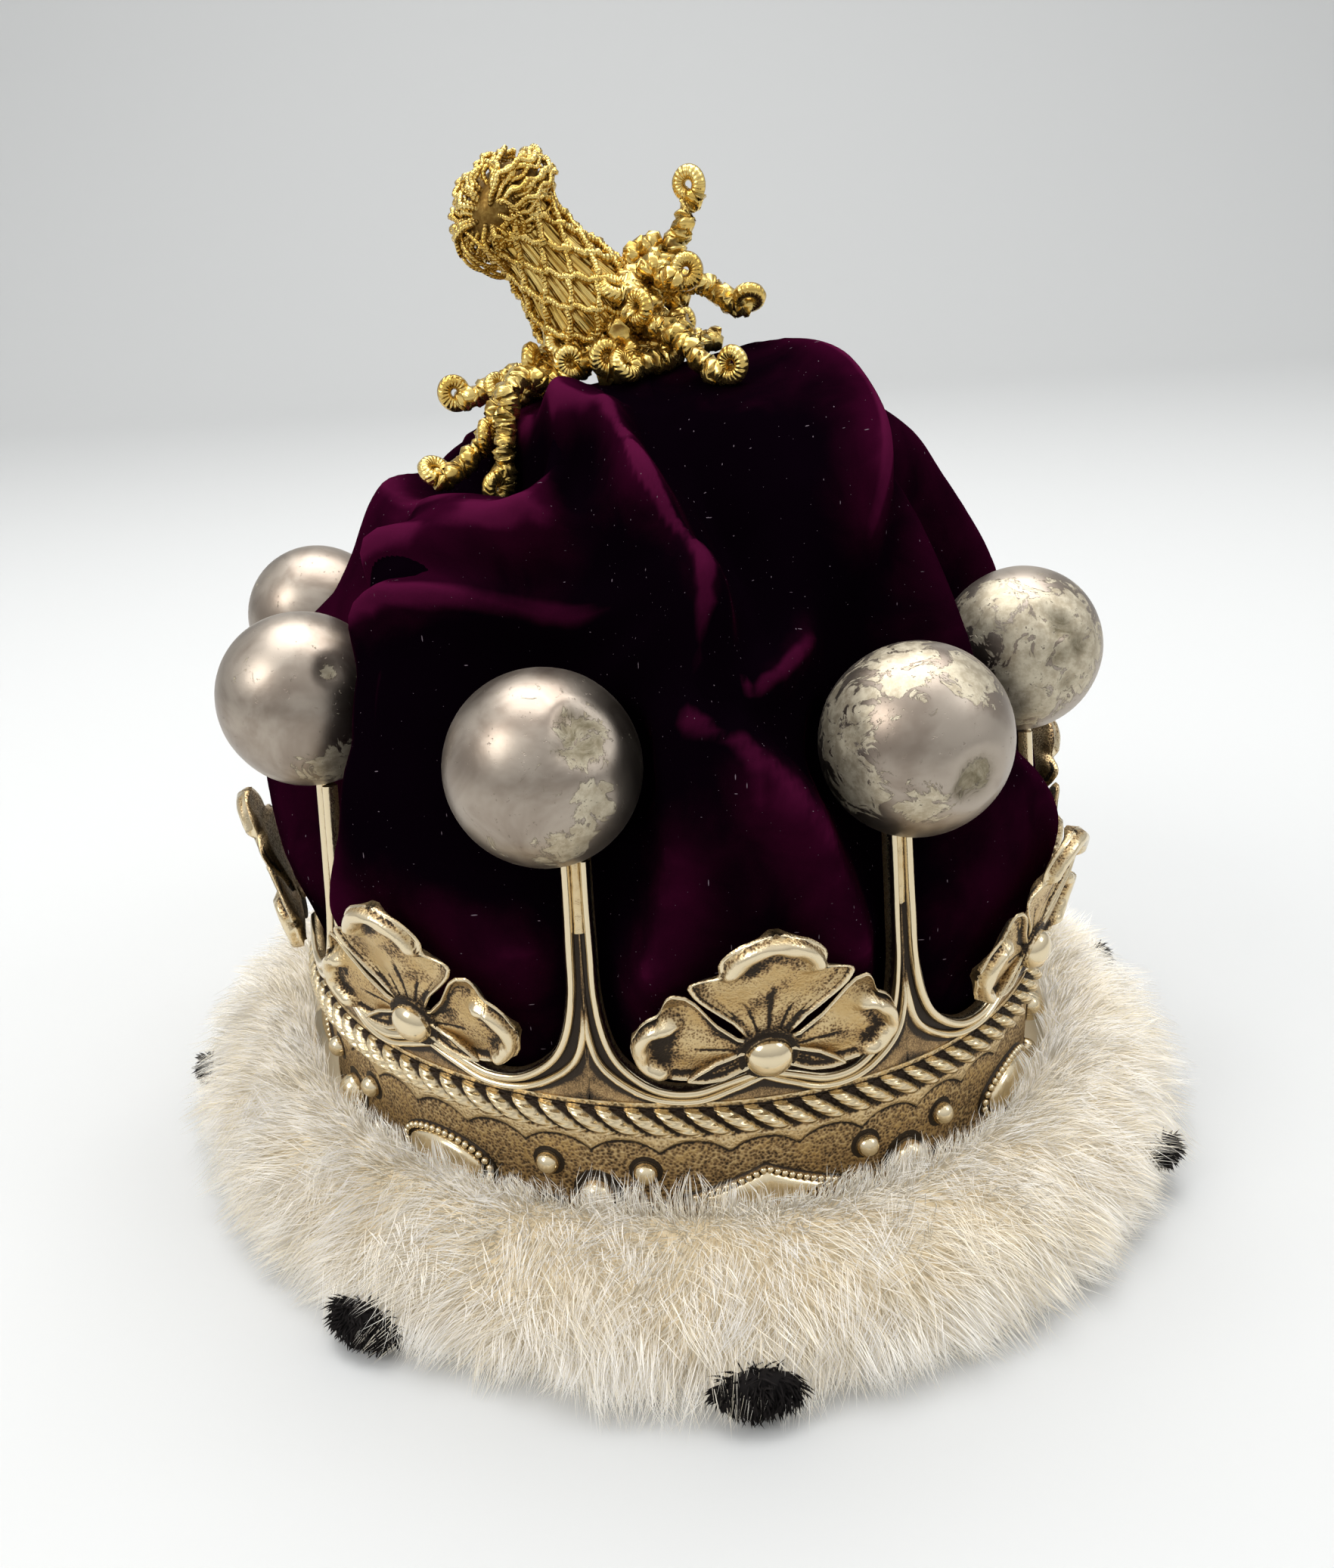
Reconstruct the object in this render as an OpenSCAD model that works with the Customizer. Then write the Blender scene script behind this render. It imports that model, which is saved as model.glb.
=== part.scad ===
// A coronet at rest: an oval circlet of silver-gilt with eight leaves and eight silver balls on
// rays, a soft velvet cap with a gold tassel, and a band of white fur with dark tails at the foot.
// Sizes are millimetres and degrees. Z is up and the floor is z = 0. The front faces -Y, and an
// angle called a turn runs from the front towards the right.

/* [Circlet] */
// Outer radius of the band, before it is bent to an oval
band_r = 97; // [94:0.5:99]
// Thickness of the band and of the rays
wall = 2; // [1.6:0.1:2.4]
// Height of the band's lower rim above the floor
rim_z = 8; // [7.6:0.1:9]
// Height of the band's plain top, under the arcade
band_top = 46; // [45:0.1:47]
// How far the oval departs from a circle, as a share of the radius
oval_share = 0.038; // [0:0.002:0.044]
// Turn of the oval's long axis
oval_turn = 37; // [20:1:60]
// Turn of the first ray, the one left of the front
first_ray = -13.6; // [-20:0.2:-6]
// How far a ray leans inwards for each millimetre of height
ray_lean = 0.1; // [0.06:0.01:0.12]

/* [Rope and jewels] */
// Height of the rope moulding's centre line
rope_z = 41.3; // [40:0.1:42]
// Half the height of the rope moulding
rope_half = 3.4; // [3:0.1:3.6]
// How far the rope moulding stands proud of the band
rope_proud = 3; // [2:0.1:3.4]
// How far the plain strips stand proud of the hammered ground
strip = 0.5; // [0.3:0.1:0.8]
// Height of the row of chased jewels
jewel_z = 21.5; // [20:0.1:23]

/* [Balls] */
// Radius of a silver ball
ball_r = 19; // [17:0.5:20]
// Radius of the ring of ball centres, before the oval
ball_ring = 92.1; // [90:0.1:94]
// Height of the ball centres above the floor
ball_z = 119.7; // [118:0.1:122]
// Radius of the peg on top of a ray, inside its ball
peg_r = 1.5; // [1:0.1:2]
// Gap left between neighbouring pieces
gap = 0.3; // [0.2:0.05:0.4]

/* [Leaves] */
// Height of a leaf's centre stud above the floor
leaf_z = 59.5; // [58:0.1:61]
// Outward lean of a leaf
leaf_lean = 12; // [8:0.5:14]
// Thickness of a leaf's edge
leaf_thick = 1.6; // [1.2:0.1:2]

/* [Velvet cap] */
// Thickness of the velvet
velvet = 2; // [1.6:0.1:2.6]
// Height of the cap's widest part
cap_wide_z = 76; // [74:0.5:78]
// Radius of the cap at its widest part
cap_wide_r = 98; // [96:0.5:99]
// Rise of the cap above its widest part
cap_rise = 105; // [100:1:108]
// How much higher the cap stands on its high side
cap_tilt = 7; // [0:1:10]
// Turn of the cap's high side
cap_tilt_turn = 60; // [40:1:80]
// Fullness of the dome, where 2 is an ellipse and more is boxier
cap_full = 2.3; // [2.2:0.05:2.5]
// How much fuller the left shoulder is, and how much slacker the right
cap_full_side = 0.4; // [0:0.05:0.4]
// Turn of the slack side
cap_slack_turn = 110; // [90:1:130]
// How far the top of the cap stands to the right
cap_shift = 2; // [0:0.5:6]

/* [Fur] */
// Radius of the fur band's outer edge, over the locks
fur_r = 140; // [138:0.5:142]
// How much farther the fur reaches in front and behind than at the sides
fur_long = 1.7; // [0:0.1:2.5]
// Height of the fur's ridge
fur_top = 31; // [30:0.5:33]
// Radius of the hole for the head
fur_hole_r = 89; // [86:0.5:90]

/* [Tassel] */
// Length of the netted head, from the cap to the knob
head_length = 34; // [30:0.5:38]
// Lean of the head from upright, towards the left
head_lean = 38; // [32:1:46]
// Radius of the looped knob
knob_r = 11; // [10:0.5:12.5]
// Radius of a curled bullion
bullion_r = 3.4; // [2.8:0.1:3.6]

/* [Hidden] */
count = 8;
step = 360 / count;
// How proud the fillets of the arcade stand, and how far its back edge stands off them
fillet = 1.4;
edge_out = 1.2;

// Each ray and ball stands a little off its even place
// [ray turn, ball turn, ball out, ball up], from the ray left of the front and round to the right
PLACES = [
    [0.5, -2.0, 1.4, -1.1],
    [-1.8, -0.7, 2.0, -1.9],
    [0, 0.5, -3.0, -1.8],
    [0, 0, 0, 0],
    [0, 0, 0, 0],
    [0, 0, 0, 0],
    [0, -1.6, -0.2, 3.1],
    [0, -1.0, -0.1, 1.7]
];

// Dents in the balls: [ball, turn on the ball, rise on the ball, radius of the tool, depth]
DENTS = [
    [1, 20, 14, 16, 1.3],
    [1, 34, -10, 20, 0.5],
    [2, 30, -20, 16, 1.3],
    [2, -24, 10, 24, 0.4],
    [3, 4, 20, 14, 1.2],
    [3, 30, -6, 16, 0.8],
    [5, 160, 10, 16, 0.8],
    [8, -12, 10, 18, 0.6]
];

// One half of a bay, from the top of a ray down to the middle under the leaf:
// [upper fillet turn, upper fillet height, lower fillet turn, lower fillet height, raised]
// where a turn runs from the leaf's middle, raised is 0 where the lower fillet isn't there, and a
// height above the ball's foot stands for the ray's top
ARCADE = [
    [21.3, 200, 22.2, 200, 0],
    [21.1, 70, 22.2, 71, 0],
    [19.9, 60, 22.1, 60.6, 1],
    [17.7, 53.8, 20.2, 53.2, 1],
    [13.6, 49.2, 14.8, 47.4, 1],
    [9.0, 48.4, 8.9, 46.3, 1],
    [4.4, 50.6, 3.9, 48.8, 1],
    [0, 52.6, 0, 51.2, 1]
];

// Half of a leaf's outline about its stud, from below round to the top: [angle, radius, curl]
LEAF = [
    [-72, 6.2, 0],
    [-28, 8.5, 0.2],
    [-13, 19.5, 0.4],
    [-4, 26.2, 2.4],
    [10, 27.4, 3.4],
    [26, 25, 1.8],
    [41, 26, 1.2],
    [46.5, 8.6, 0.4],
    [54, 27, 1.2],
    [72, 28.4, 2.2]
];
LEAF_TIP = [90, 31.5, 3.6];

// Ridges and hollows of the velvet on three guiding points each:
// [turn 1, rise 1, turn 2, rise 2, turn 3, rise 3, height, width on the left, width on the right]
FOLDS = [
    [-13, 66, 0, 47, 7, 33, 12, 13, 7],
    [5, 41, 4, 34, 0, 23, 11, 7, 8],
    [2, 35, -5, 35, -17, 31, 9, 6, 9],
    [-5, 26, 20, 25, 24, -12, 12, 18, 7],
    [-3, 29, 2, 16, -8, -6, 11, 7, 16],
    [-54, 31, -32, 43, 6, 37, 10, 8, 8],
    [-48, 45, -48, 24, -50, -10, 10, 8, 20],
    [-64, 37, -42, 46, -21, 48, 9, 9, 9],
    [-34, 74, -16, 60, -24, 48, 8, 7, 8],
    [-17, 14, -17, 4, -14, -6, 6, 16, 7],
    [72, 78, 42, 54, 26, 29, 11, 20, 8],
    [8, 27, 16, 31, 29, 36, 9, 7, 8],
    [54, 12, 60, 8, 60, 2, 4, 12, 12],
    [66, 50, 60, 33, 56, 14, -22, 22, 22],
    [84, 76, 66, 66, 62, 52, 3, 18, 18],
    [4, 70, 15, 46, 14, 24, -16, 15, 17],
    [-100, 62, -50, 62, -12, 56, -16, 16, 12],
    [-50, 46, -34, 46, -20, 45, -5, 8, 8],
    [-130, 40, -100, 46, -72, 36, -15, 34, 30],
    [-140, 72, -136, 46, -150, 14, 9, 12, 14],
    [172, 74, 164, 44, 174, 10, 8, 14, 12],
    [128, 72, 134, 48, 120, 14, 9, 10, 14],
    [96, 66, 88, 46, 100, 20, 6, 14, 10]
];
FOLD_STEPS = 7;

// Depth of the velvet behind a ray and its ball by rise, and the width of that hollow
POST_DEPTH = [[-40, 0], [-28, 2], [-14, 7], [2, 10.5], [10, 16], [23, 26], [36, 18], [50, 5], [62, 0]];
POST_WIDTH = [[-40, 5.5], [2, 6.5], [12, 12.5], [23, 15], [50, 15]];
// Share of the folds that the balls leave no room for
POST_ROOM = [[-10, 0.4], [8, 0.9], [36, 0.9], [48, 0]];
// Millimetres that the cap's foot goes down for a degree of rise
cap_foot_rate = 1.15;
// How far the cap draws in by rise below its widest part, and how far it swells between the rays
CAP_FOOT = [[-40, 6.5], [-27, 5.4], [-20, 4.4], [-13, 2.6], [-5, 0.6], [0, 0]];
SWELL = [[-24, 0], [-12, 1], [0, 3], [8, 4], [18, 6.5], [28, 6], [45, 2], [60, 0]];
// Share of the folds that shows by rise: they die out inside the circlet
FOLD_EASE = [[-24, 0], [-8, 0.3], [12, 1]];

// Curled bullions of the tassel: [turn, reach, rise at the bend, rise at the tip, curl]
BULLIONS = [
    [75, 20, 9, 25, 4],
    [80, 31, 11, 5.5, 5],
    [38, 38, 2, -8, 3],
    [18, 14, 9, 4, 5],
    [12, 20, 1, -6, 3],
    [-30, 16, 1, -5, 5],
    [-62, 20, 2.2, -5, 5],
    [-77, 25, -2.2, -9, 5],
    [-81, 36, -4, -11, 3],
    [-58, 34, -8, -21, 3],
    [-56, 48, -15, -25, 3],
    [-39, 40, -16, -27, 3],
    [136, 21, 6, 0, 5],
    [-150, 22, 2, -8, 5]
];

// Shapes the circle into the oval
function ovalled(p) = let (
    s = sin(oval_turn), c = cos(oval_turn),
    along = (p.x * s - p.y * c) * (1 + oval_share),
    across = (p.x * c + p.y * s) * (1 - oval_share)
) [along * s + across * c, -along * c + across * s, p.z];

// A point at a turn, a radius and a height, on the circle and then on the oval
function round_at(turn, r, z) = [r * sin(turn), -r * cos(turn), z];
function at(turn, r, z) = ovalled(round_at(turn, r, z));

function even_ray(k) = first_ray + step * k;
function ray_turn(k) = even_ray(k) + PLACES[k % count][0];
function leaf_turn(k) = even_ray(k) + step / 2;
function ball_centre(k) = let (p = PLACES[k % count])
    at(even_ray(k) + p[1], ball_ring + p[2], ball_z + p[3]);
function ray_r(z) = band_r - ray_lean * max(0, z - band_top);
function lean(a, b, t) = a + (b - a) * t;
function near_turn(d) = d - 360 * round(d / 360);

// Faces of a grid: n sections of m points each, closed round the section
function side_faces(n, m, start = 0) = [
    for (i = [0:n - 2], j = [0:m - 1])
        let (a = start + i * m + j, b = start + i * m + (j + 1) % m)
        each [[a, b + m, b], [a, a + m, b + m]]
];
function fan_faces(m, start, turn_over) = [
    for (j = [1:m - 2]) turn_over
        ? [start, start + j + 1, start + j]
        : [start, start + j, start + j + 1]
];

// A bar swept through its sections, with flat ends
module bar(sections) {
    n = len(sections);
    m = len(sections[0]);
    polyhedron(
        [for (s = sections) each s],
        concat(side_faces(n, m), fan_faces(m, 0, false), fan_faces(m, (n - 1) * m, true))
    );
}

// A ring swept through its sections and back to the first
module hoop(sections) {
    n = len(sections);
    m = len(sections[0]);
    polyhedron(
        [for (s = sections) each s],
        [
            for (i = [0:n - 1], j = [0:m - 1])
                let (
                    a = i * m + j, b = i * m + (j + 1) % m,
                    c = ((i + 1) % n) * m + j, d = ((i + 1) % n) * m + (j + 1) % m
                )
                each [[a, b, d], [a, d, c]]
        ]
    );
}

// Faces between two closed rings of n and m points, where one count divides the other
function ring_faces(a, n, b, m) = n == m
    ? [for (i = [0:n - 1]) let (j = (i + 1) % n) each [[a + i, b + j, a + j], [a + i, b + i, b + j]]]
    : n < m
    ? [
        for (i = [0:n - 1]) let (q = m / n, j = (i + 1) % n, h = floor(q / 2)) each concat(
            [for (t = [0:h - 1]) [a + i, b + i * q + t, b + (i * q + t + 1) % m]],
            [[a + i, b + i * q + h, a + j]],
            [for (t = [h:q - 1]) [a + j, b + i * q + t, b + (i * q + t + 1) % m]]
        )
    ]
    : [for (f = ring_faces(b, m, a, n)) [f[0], f[2], f[1]]];

// The band and its rope moulding, as rings from the inner rim out, up and back inside.
// The rope is slanting strands, each a ridge between two hollows.
module band() {
    coarse = 48;
    strands = 96;
    hollow = 0.55;
    strip_z = rope_z - rope_half - 2;
    // [radius off band_r, height, 1 on the rope, height across the rope in half heights]
    rings = [
        [-wall, rim_z, 0, 0], [0, rim_z, 0, 0], [0, strip_z, 0, 0], [strip, strip_z, 0, 0],
        [strip, rope_z - rope_half, 1, -1],
        [rope_proud, rope_z - rope_half * 0.55, 1, -0.55],
        [rope_proud, rope_z + rope_half * 0.55, 1, 0.55],
        [strip, rope_z + rope_half, 1, 1],
        [strip, band_top, 0, 0], [-wall, band_top, 0, 0]
    ];
    function size(r) = r[2] == 1 ? 2 * strands : coarse;
    function starts(i) = i == 0 ? 0 : starts(i - 1) + size(rings[i - 1]);
    polyhedron(
        [
            for (r = rings, i = [0:size(r) - 1]) at(
                360 * (i - r[3]) / size(r),
                band_r + r[0] * (r[0] > strip && i % 2 == 1 ? hollow : 1),
                r[1]
            )
        ],
        [
            for (i = [0:len(rings) - 1]) let (j = (i + 1) % len(rings))
                each ring_faces(starts(i), size(rings[i]), starts(j), size(rings[j]))
        ]
    );
}

// One section across the arcade: its back edge, a fillet, the channel, the lower fillet or the
// ray's middle, and the wall below
function arcade_section(row, edge, top) = let (
    u = min(row[1], top), l = min(row[3], top), raised = row[4],
    foot_z = row[3] > ball_z ? l : band_top - 1,
    inside = wall - 0.3,
    foot_turn = raised == 1 ? row[2] : step / 2 + 0.1
) [
    [row[0] + edge[0], ray_r(u) - inside, u + edge[1]],
    [row[0], ray_r(u) + fillet, u],
    [lean(row[0], row[2], 0.5), ray_r(u) + 0.1, (u + l) / 2],
    [row[2], ray_r(l) + 0.1 + fillet * raised, l],
    [foot_turn, ray_r(foot_z) + 0.1, foot_z],
    [foot_turn, ray_r(foot_z) - inside, foot_z]
];

// The back edge stands a little off the upper fillet: [turn, height] by row
function edge_shift(i) = let (
    last = len(ARCADE) - 1, mm_turn = band_r * PI / 180,
    p = ARCADE[max(0, i - 1)], q = ARCADE[min(last, i + 1)],
    way = [(q[0] - p[0]) * mm_turn, q[1] - p[1]], d = norm(way)
) i == last ? [0, edge_out] : i == 0 ? [-edge_out / mm_turn, 0]
    : [way.y / d * edge_out / mm_turn, -way.x / d * edge_out];

// A ray ends just under its ball
function ray_top(k) = ball_centre(k).z - ball_r - gap;

// One bay of the arcade, from the middle of one ray to the middle of the next
module arcade_bay(k) {
    last = len(ARCADE) - 1;
    function section(i, ray) = let (
        side = (ray_turn(ray) - leaf_turn(k)) / (step / 2)
    ) [
        for (p = arcade_section(ARCADE[i], edge_shift(i), ray_top(ray)))
            at(leaf_turn(k) + side * p[0], p[1], p[2])
    ];
    bar(concat([for (i = [0:last]) section(i, k)], [for (i = [last - 1:-1:0]) section(i, k + 1)]));
}

// The peg that a ball sits on
function peg_foot(k) = at(ray_turn(k), ray_r(ray_top(k)) - wall / 2 + 0.4, ray_top(k) - 1);
module peg(k) {
    translate(peg_foot(k)) cylinder(r = peg_r, h = 6.5, $fn = 6);
}

// A raised form on the face of the band, bent with it: rings of one outline, then a point
// outline: [turn, height] from the middle; rings: [share of the outline, how proud]
module raised_form(turn, z, outline, rings, peak) {
    n = len(outline);
    m = len(rings);
    points = concat(
        [for (r = rings, p = outline) at(turn + r[0] * p[0], band_r + r[1], z + r[0] * p[1])],
        [at(turn, band_r + peak, z), at(turn, band_r + rings[0][1], z)]
    );
    polyhedron(points, concat(
        side_faces(m, n),
        [for (j = [0:n - 1]) [m * n, (m - 1) * n + (j + 1) % n, (m - 1) * n + j]],
        [for (j = [0:n - 1]) [m * n + 1, j, (j + 1) % n]]
    ));
}
function round_outline(wide, high, n) =
    [for (j = [0:n - 1]) [wide * cos(360 * j / n) / band_r * 180 / PI, high * sin(360 * j / n)]];

// A dome on the face of the band
module dome(turn, z, r, sides) {
    raised_form(turn, z, round_outline(r * 1.05, r * 1.05, sides), [[1, -0.8], [0.7, r * 0.75]], r);
}

// Five studs under a ray: a large one between four small ones
module stud_group(k) {
    dome(ray_turn(k), jewel_z, 4.1, 8);
    for (s = [-6.5, 6.5], t = [-6.6, 6.6]) dome(ray_turn(k) + s, jewel_z + t, 2.7, 5);
}

module lozenge(turn) {
    raised_form(turn, jewel_z, round_outline(18, 7.3, 4), [[1, -0.8], [1, 0.9]], 2.6);
}
module cabochon(turn) {
    raised_form(
        turn, jewel_z, round_outline(14, 7, 9), [[1, -0.8], [0.94, 1.2], [0.76, 1.2], [0.6, 3]], 3.6
    );
}

// A tab inside the foot of each ray keeps its two bays one piece
module tab(k) {
    hull() for (z = [band_top, 60])
        translate(at(ray_turn(k), ray_r(z) - wall / 2, z)) cube(1, center = true);
}

module circlet() {
    color("#c9ab6d") union() {
        band();
        for (k = [0:count - 1]) {
            arcade_bay(k);
            tab(k);
            peg(k);
            stud_group(k);
            if (k % 2 == 0) lozenge(leaf_turn(k)); else cabochon(leaf_turn(k));
        }
    }
}

// A leaf: lobes with curled tips round a stud, cut in towards it by two narrow slots
function leaf_outline() = concat(
    LEAF, [LEAF_TIP],
    [for (i = [len(LEAF) - 1:-1:0]) [180 - LEAF[i][0], LEAF[i][1], LEAF[i][2]]]
);
// The rings of a leaf, from the back edge over the curled tips to the top of the stud:
// [share of the outline, share of the curl, thickness, radius at most]
function leaf_rings() = [
    [1, 0.5, 0, 99], [1, 0.7, leaf_thick, 99], [0.82, 0.9, leaf_thick, 99],
    [1, 0, leaf_thick, 5.2], [1, 0, leaf_thick + 2.8, 3.6]
];
module leaf(k) {
    outline = leaf_outline();
    rings = leaf_rings();
    n = len(outline);
    m = len(rings);
    // Across the leaf, up it and out of it, where the foot clears the arcade's fillets
    function place(x, y, out) = at(
        leaf_turn(k) + x / band_r * 180 / PI,
        band_r + fillet + gap - 0.4 + (y + 6) * sin(leaf_lean) + out * cos(leaf_lean),
        leaf_z + y * cos(leaf_lean) - out * sin(leaf_lean)
    );
    points = concat(
        [
            for (r = rings, p = outline)
                let (d = min(r[0] * p[1], r[3])) place(d * cos(p[0]), d * sin(p[0]), r[2] + r[1] * p[2])
        ],
        [place(0, 0, leaf_thick + 3.8), place(0, 0, 0)]
    );
    color("#c9ab6d") polyhedron(points, concat(
        side_faces(m, n),
        [for (j = [0:n - 1]) [m * n, (m - 1) * n + (j + 1) % n, (m - 1) * n + j]],
        [for (j = [0:n - 1]) [m * n + 1, j, (j + 1) % n]]
    ));
}

// A silver ball, with its dents and the hole for its peg
module ball(k) {
    centre = ball_centre(k);
    color("#a9a49c") difference() {
        translate(centre) rotate([0, -90, 0]) sphere(r = ball_r, $fn = 96);
        translate([peg_foot(k).x, peg_foot(k).y, centre.z - ball_r - 2])
            cylinder(r = peg_r + gap, h = 9, $fn = 32);
        for (d = DENTS) if (d[0] == k + 1) {
            reach = ball_r + d[3] - d[4];
            translate(centre + [
                reach * cos(d[2]) * sin(d[1]), -reach * cos(d[2]) * cos(d[1]), reach * sin(d[2])
            ]) rotate([0, -90, 0]) sphere(r = d[3], $fn = 64);
        }
    }
}

// The plain form of the cap: a swelling foot inside the circlet and a dome above it
function dome_point(turn, rise) = let (
    n = cap_full - cap_full_side * cos(turn - cap_slack_turn),
    e = max(0, rise),
    k = pow(pow(cos(e), n) + pow(sin(e), n), -1 / n),
    r = rise < 0 ? cap_wide_r - lookup(rise, CAP_FOOT) : cap_wide_r * k * cos(e),
    drop = cap_foot_rate * rise,
    up = cap_rise * k * sin(e) + cap_tilt * cos(turn - cap_tilt_turn) * sin(2 * e),
    z = cap_wide_z + (rise < 0 ? drop : up)
) at(turn, r, z) + [cap_shift * pow(sin(e), 3), 0, 0];

// Height of one fold at a place on the cap
function bezier(f, t) = let (u = 1 - t) [
    u * u * f[0] + 2 * u * t * f[2] + t * t * f[4],
    u * u * f[1] + 2 * u * t * f[3] + t * t * f[5]
];
function fold_at(f, turn, rise) = let (
    hits = [
        for (i = [0:FOLD_STEPS]) let (
            t = i / FOLD_STEPS,
            p = bezier(f, t), q = bezier(f, t + 0.02),
            dx = near_turn(turn - p[0]) * 1.7 * cos(rise), dy = (rise - p[1]) * 1.8,
            tx = near_turn(q[0] - p[0]) * cos(rise), ty = q[1] - p[1],
            side = tx * dy - ty * dx,
            w = side < 0 ? f[7] : f[8],
            q2 = (dx * dx + dy * dy) / (w * w)
        )
        q2 < 1 ? (1 - q2) * (1 - q2) * (0.3 + 0.7 * sin(180 * t)) : 0
    ]
) f[6] * max(hits);
function folds_at(turn, rise) =
    [for (f = FOLDS) fold_at(f, turn, rise)] * [for (f = FOLDS) 1];
function post_turn(k, rise) = even_ray(k)
    + lean(PLACES[k][0], PLACES[k][1], max(0, min(1, rise / 14)));
// How near a place is to a ray or its ball, from 0 to 1, and the velvet's depth behind it, which
// is greater behind a ball that stands farther in
function post_share(k, turn, rise) =
    exp(-pow(near_turn(turn - post_turn(k, rise)) / lookup(rise, POST_WIDTH), 2));
function posts_at(turn, rise) = lookup(rise, POST_DEPTH) *
    max([for (k = [0:count - 1]) post_share(k, turn, rise) * (1 - PLACES[k][2] / 20)]);
function fold_room(turn, rise) =
    1 - lookup(rise, POST_ROOM) * max([for (k = [0:count - 1]) post_share(k, turn, rise)]);
function swell_at(turn, rise) =
    lookup(rise, SWELL) * (0.5 - 0.5 * cos(count * (turn - first_ray)));

// Velvet near a ball is pressed in behind it, and this far off it
velvet_off = 2.6;
function pressed(p, i = 0) = i == count ? p : let (
    c = ball_centre(i), inward = -[c.x, c.y, 0] / norm([c.x, c.y]),
    d = p - c, along = d * inward, aside = norm(d - along * inward), keep = ball_r + velvet_off,
    need = aside < keep ? sqrt(keep * keep - aside * aside) : 2 * (keep - aside)
) pressed(p + inward * max(0, need - along), i + 1);

function cap_point(turn, rise, deep) = let (
    up = max(0, rise),
    out = [cos(up) * sin(turn), -cos(up) * cos(turn), sin(up)],
    folds = lookup(rise, FOLD_EASE) * fold_room(turn, rise) * folds_at(turn, rise),
    h = swell_at(turn, rise) - posts_at(turn, rise) + folds
) pressed(dome_point(turn, rise) + out * h) - out * deep;

module velvet_cap() {
    around = 54;
    // The turns stand closer in front, where the folds are sharpest
    turns = [for (i = [0:around - 1]) let (u = 360 * i / around) u - 22 * sin(u)];
    rises = [-40, -24, -13, -5, 3, 10, 17, 24, 31, 37, 43, 49, 55, 62, 70, 79];
    m = around;
    rows = len(rises);
    rings = concat(
        [for (e = rises) [for (t = turns) cap_point(t, e, 0)]],
        [for (e = rises) [for (t = turns) cap_point(t, e, velvet)]]
    );
    top = cap_point(0, 89.9, 0);
    points = concat([for (r = rings) each r], [top, top - [0, 0, velvet]]);
    last = (rows - 1) * m;
    inner = rows * m;
    color("#4a0a35") polyhedron(points, concat(
        side_faces(rows, m),
        [for (f = side_faces(rows, m, inner)) [f[0], f[2], f[1]]],
        [
            for (j = [0:m - 1]) let (b = (j + 1) % m)
                each [[j, b, inner + b], [j, inner + b, inner + j]]
        ],
        [for (j = [0:m - 1]) [last + j, 2 * rows * m, last + (j + 1) % m]],
        [for (j = [0:m - 1]) [inner + last + j, inner + last + (j + 1) % m, 2 * rows * m + 1]]
    ));
}

// The fur, in staggered rows of locks from the foot up to the ridge and down inside to the circlet:
// [radius off fur_r and height on a lock, the same between two locks, which locks]
FUR = [
    [-0.5, 1.2, -7, 5, 0],
    [0.5, 7, -5.5, 12, 1],
    [-1, 15, -8, 20, 0],
    [-8, 23, -15, 27.5, 1],
    [-20, 29.5, -27, 31, 0]
];
function shuffled(i, salt) = let (v = sin(i * 127.1 + salt * 311.7) * 43758.5) v - floor(v);
function fur_edge(turn) = fur_r + fur_long * cos(2 * turn);
// The fur as one ring of sections; the locks repeat after half a turn
module fur_ring() {
    sections = 56;
    ledge_z = rim_z - gap;
    inner_r = band_r + 4.7;
    hoop([
        for (i = [0:sections - 1]) let (
            a = 360 * i / sections,
            edge = fur_edge(a),
            locks = [
                for (row = [0:len(FUR) - 1]) let (
                    f = FUR[row],
                    on = (i + f[4]) % 2 == 0,
                    h = i % (sections / 2)
                )
                [
                    a + 1.6 * (shuffled(h, row) - 0.5),
                    edge + (on ? f[0] - 2 * shuffled(h, row + 9) : f[2]),
                    on ? max(0.8, f[1] + 3 * shuffled(h, row + 5) - 1.5) : f[3]
                ]
            ]
        )
        concat(
            [at(a, fur_hole_r, 0), at(a, edge - 12, 0)],
            [for (p = locks) at(p[0], p[1], p[2])],
            [
                at(a, inner_r + 4.5, fur_top - 1.5 - (i % 2)), at(a, inner_r, 24.5),
                at(a, inner_r, ledge_z), at(a, fur_hole_r, ledge_z)
            ]
        )
    ]);
}

module fur_band() {
    color("#efe9db") difference() {
        fur_ring();
        for (k = [0:count - 1]) tail_shape(k, gap);
    }
}

// Dark tails in the fur: [turn from the leaf above, height of the root]
TAILS = [[-6.3, 12], [3, 13], [0, 14], [2, 13], [0, 14], [3, 14], [0, 14], [2.8, 11]];
module tail_shape(k, extra) {
    t = TAILS[k];
    a = leaf_turn(k) + t[0];
    hull() {
        translate(at(a, fur_edge(a) - 8.5, t[1])) sphere(r = 7 + extra, $fn = 5);
        translate(at(a + 1.5, fur_edge(a) - 5.5, t[1] - 4)) sphere(r = 6.6 + extra, $fn = 5);
    }
}
module ermine_tail(k) {
    color("#1a1512") tail_shape(k, 0);
}

// The tassel: a netted head that leans to the left, a looped knob and curled bullions
tassel_foot = [-4.5, -2.6, cap_wide_z + cap_rise + 7.5];
head_way = [-sin(head_lean), -0.12, cos(head_lean)];
function disc(centre, way, r, sides) = let (
    z = way / norm(way),
    x = cross([0, 1, 0.01], z) / norm(cross([0, 1, 0.01], z)),
    y = cross(z, x)
) [for (j = [0:sides - 1]) centre + r * (x * cos(360 * j / sides) + y * sin(360 * j / sides))];

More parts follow.
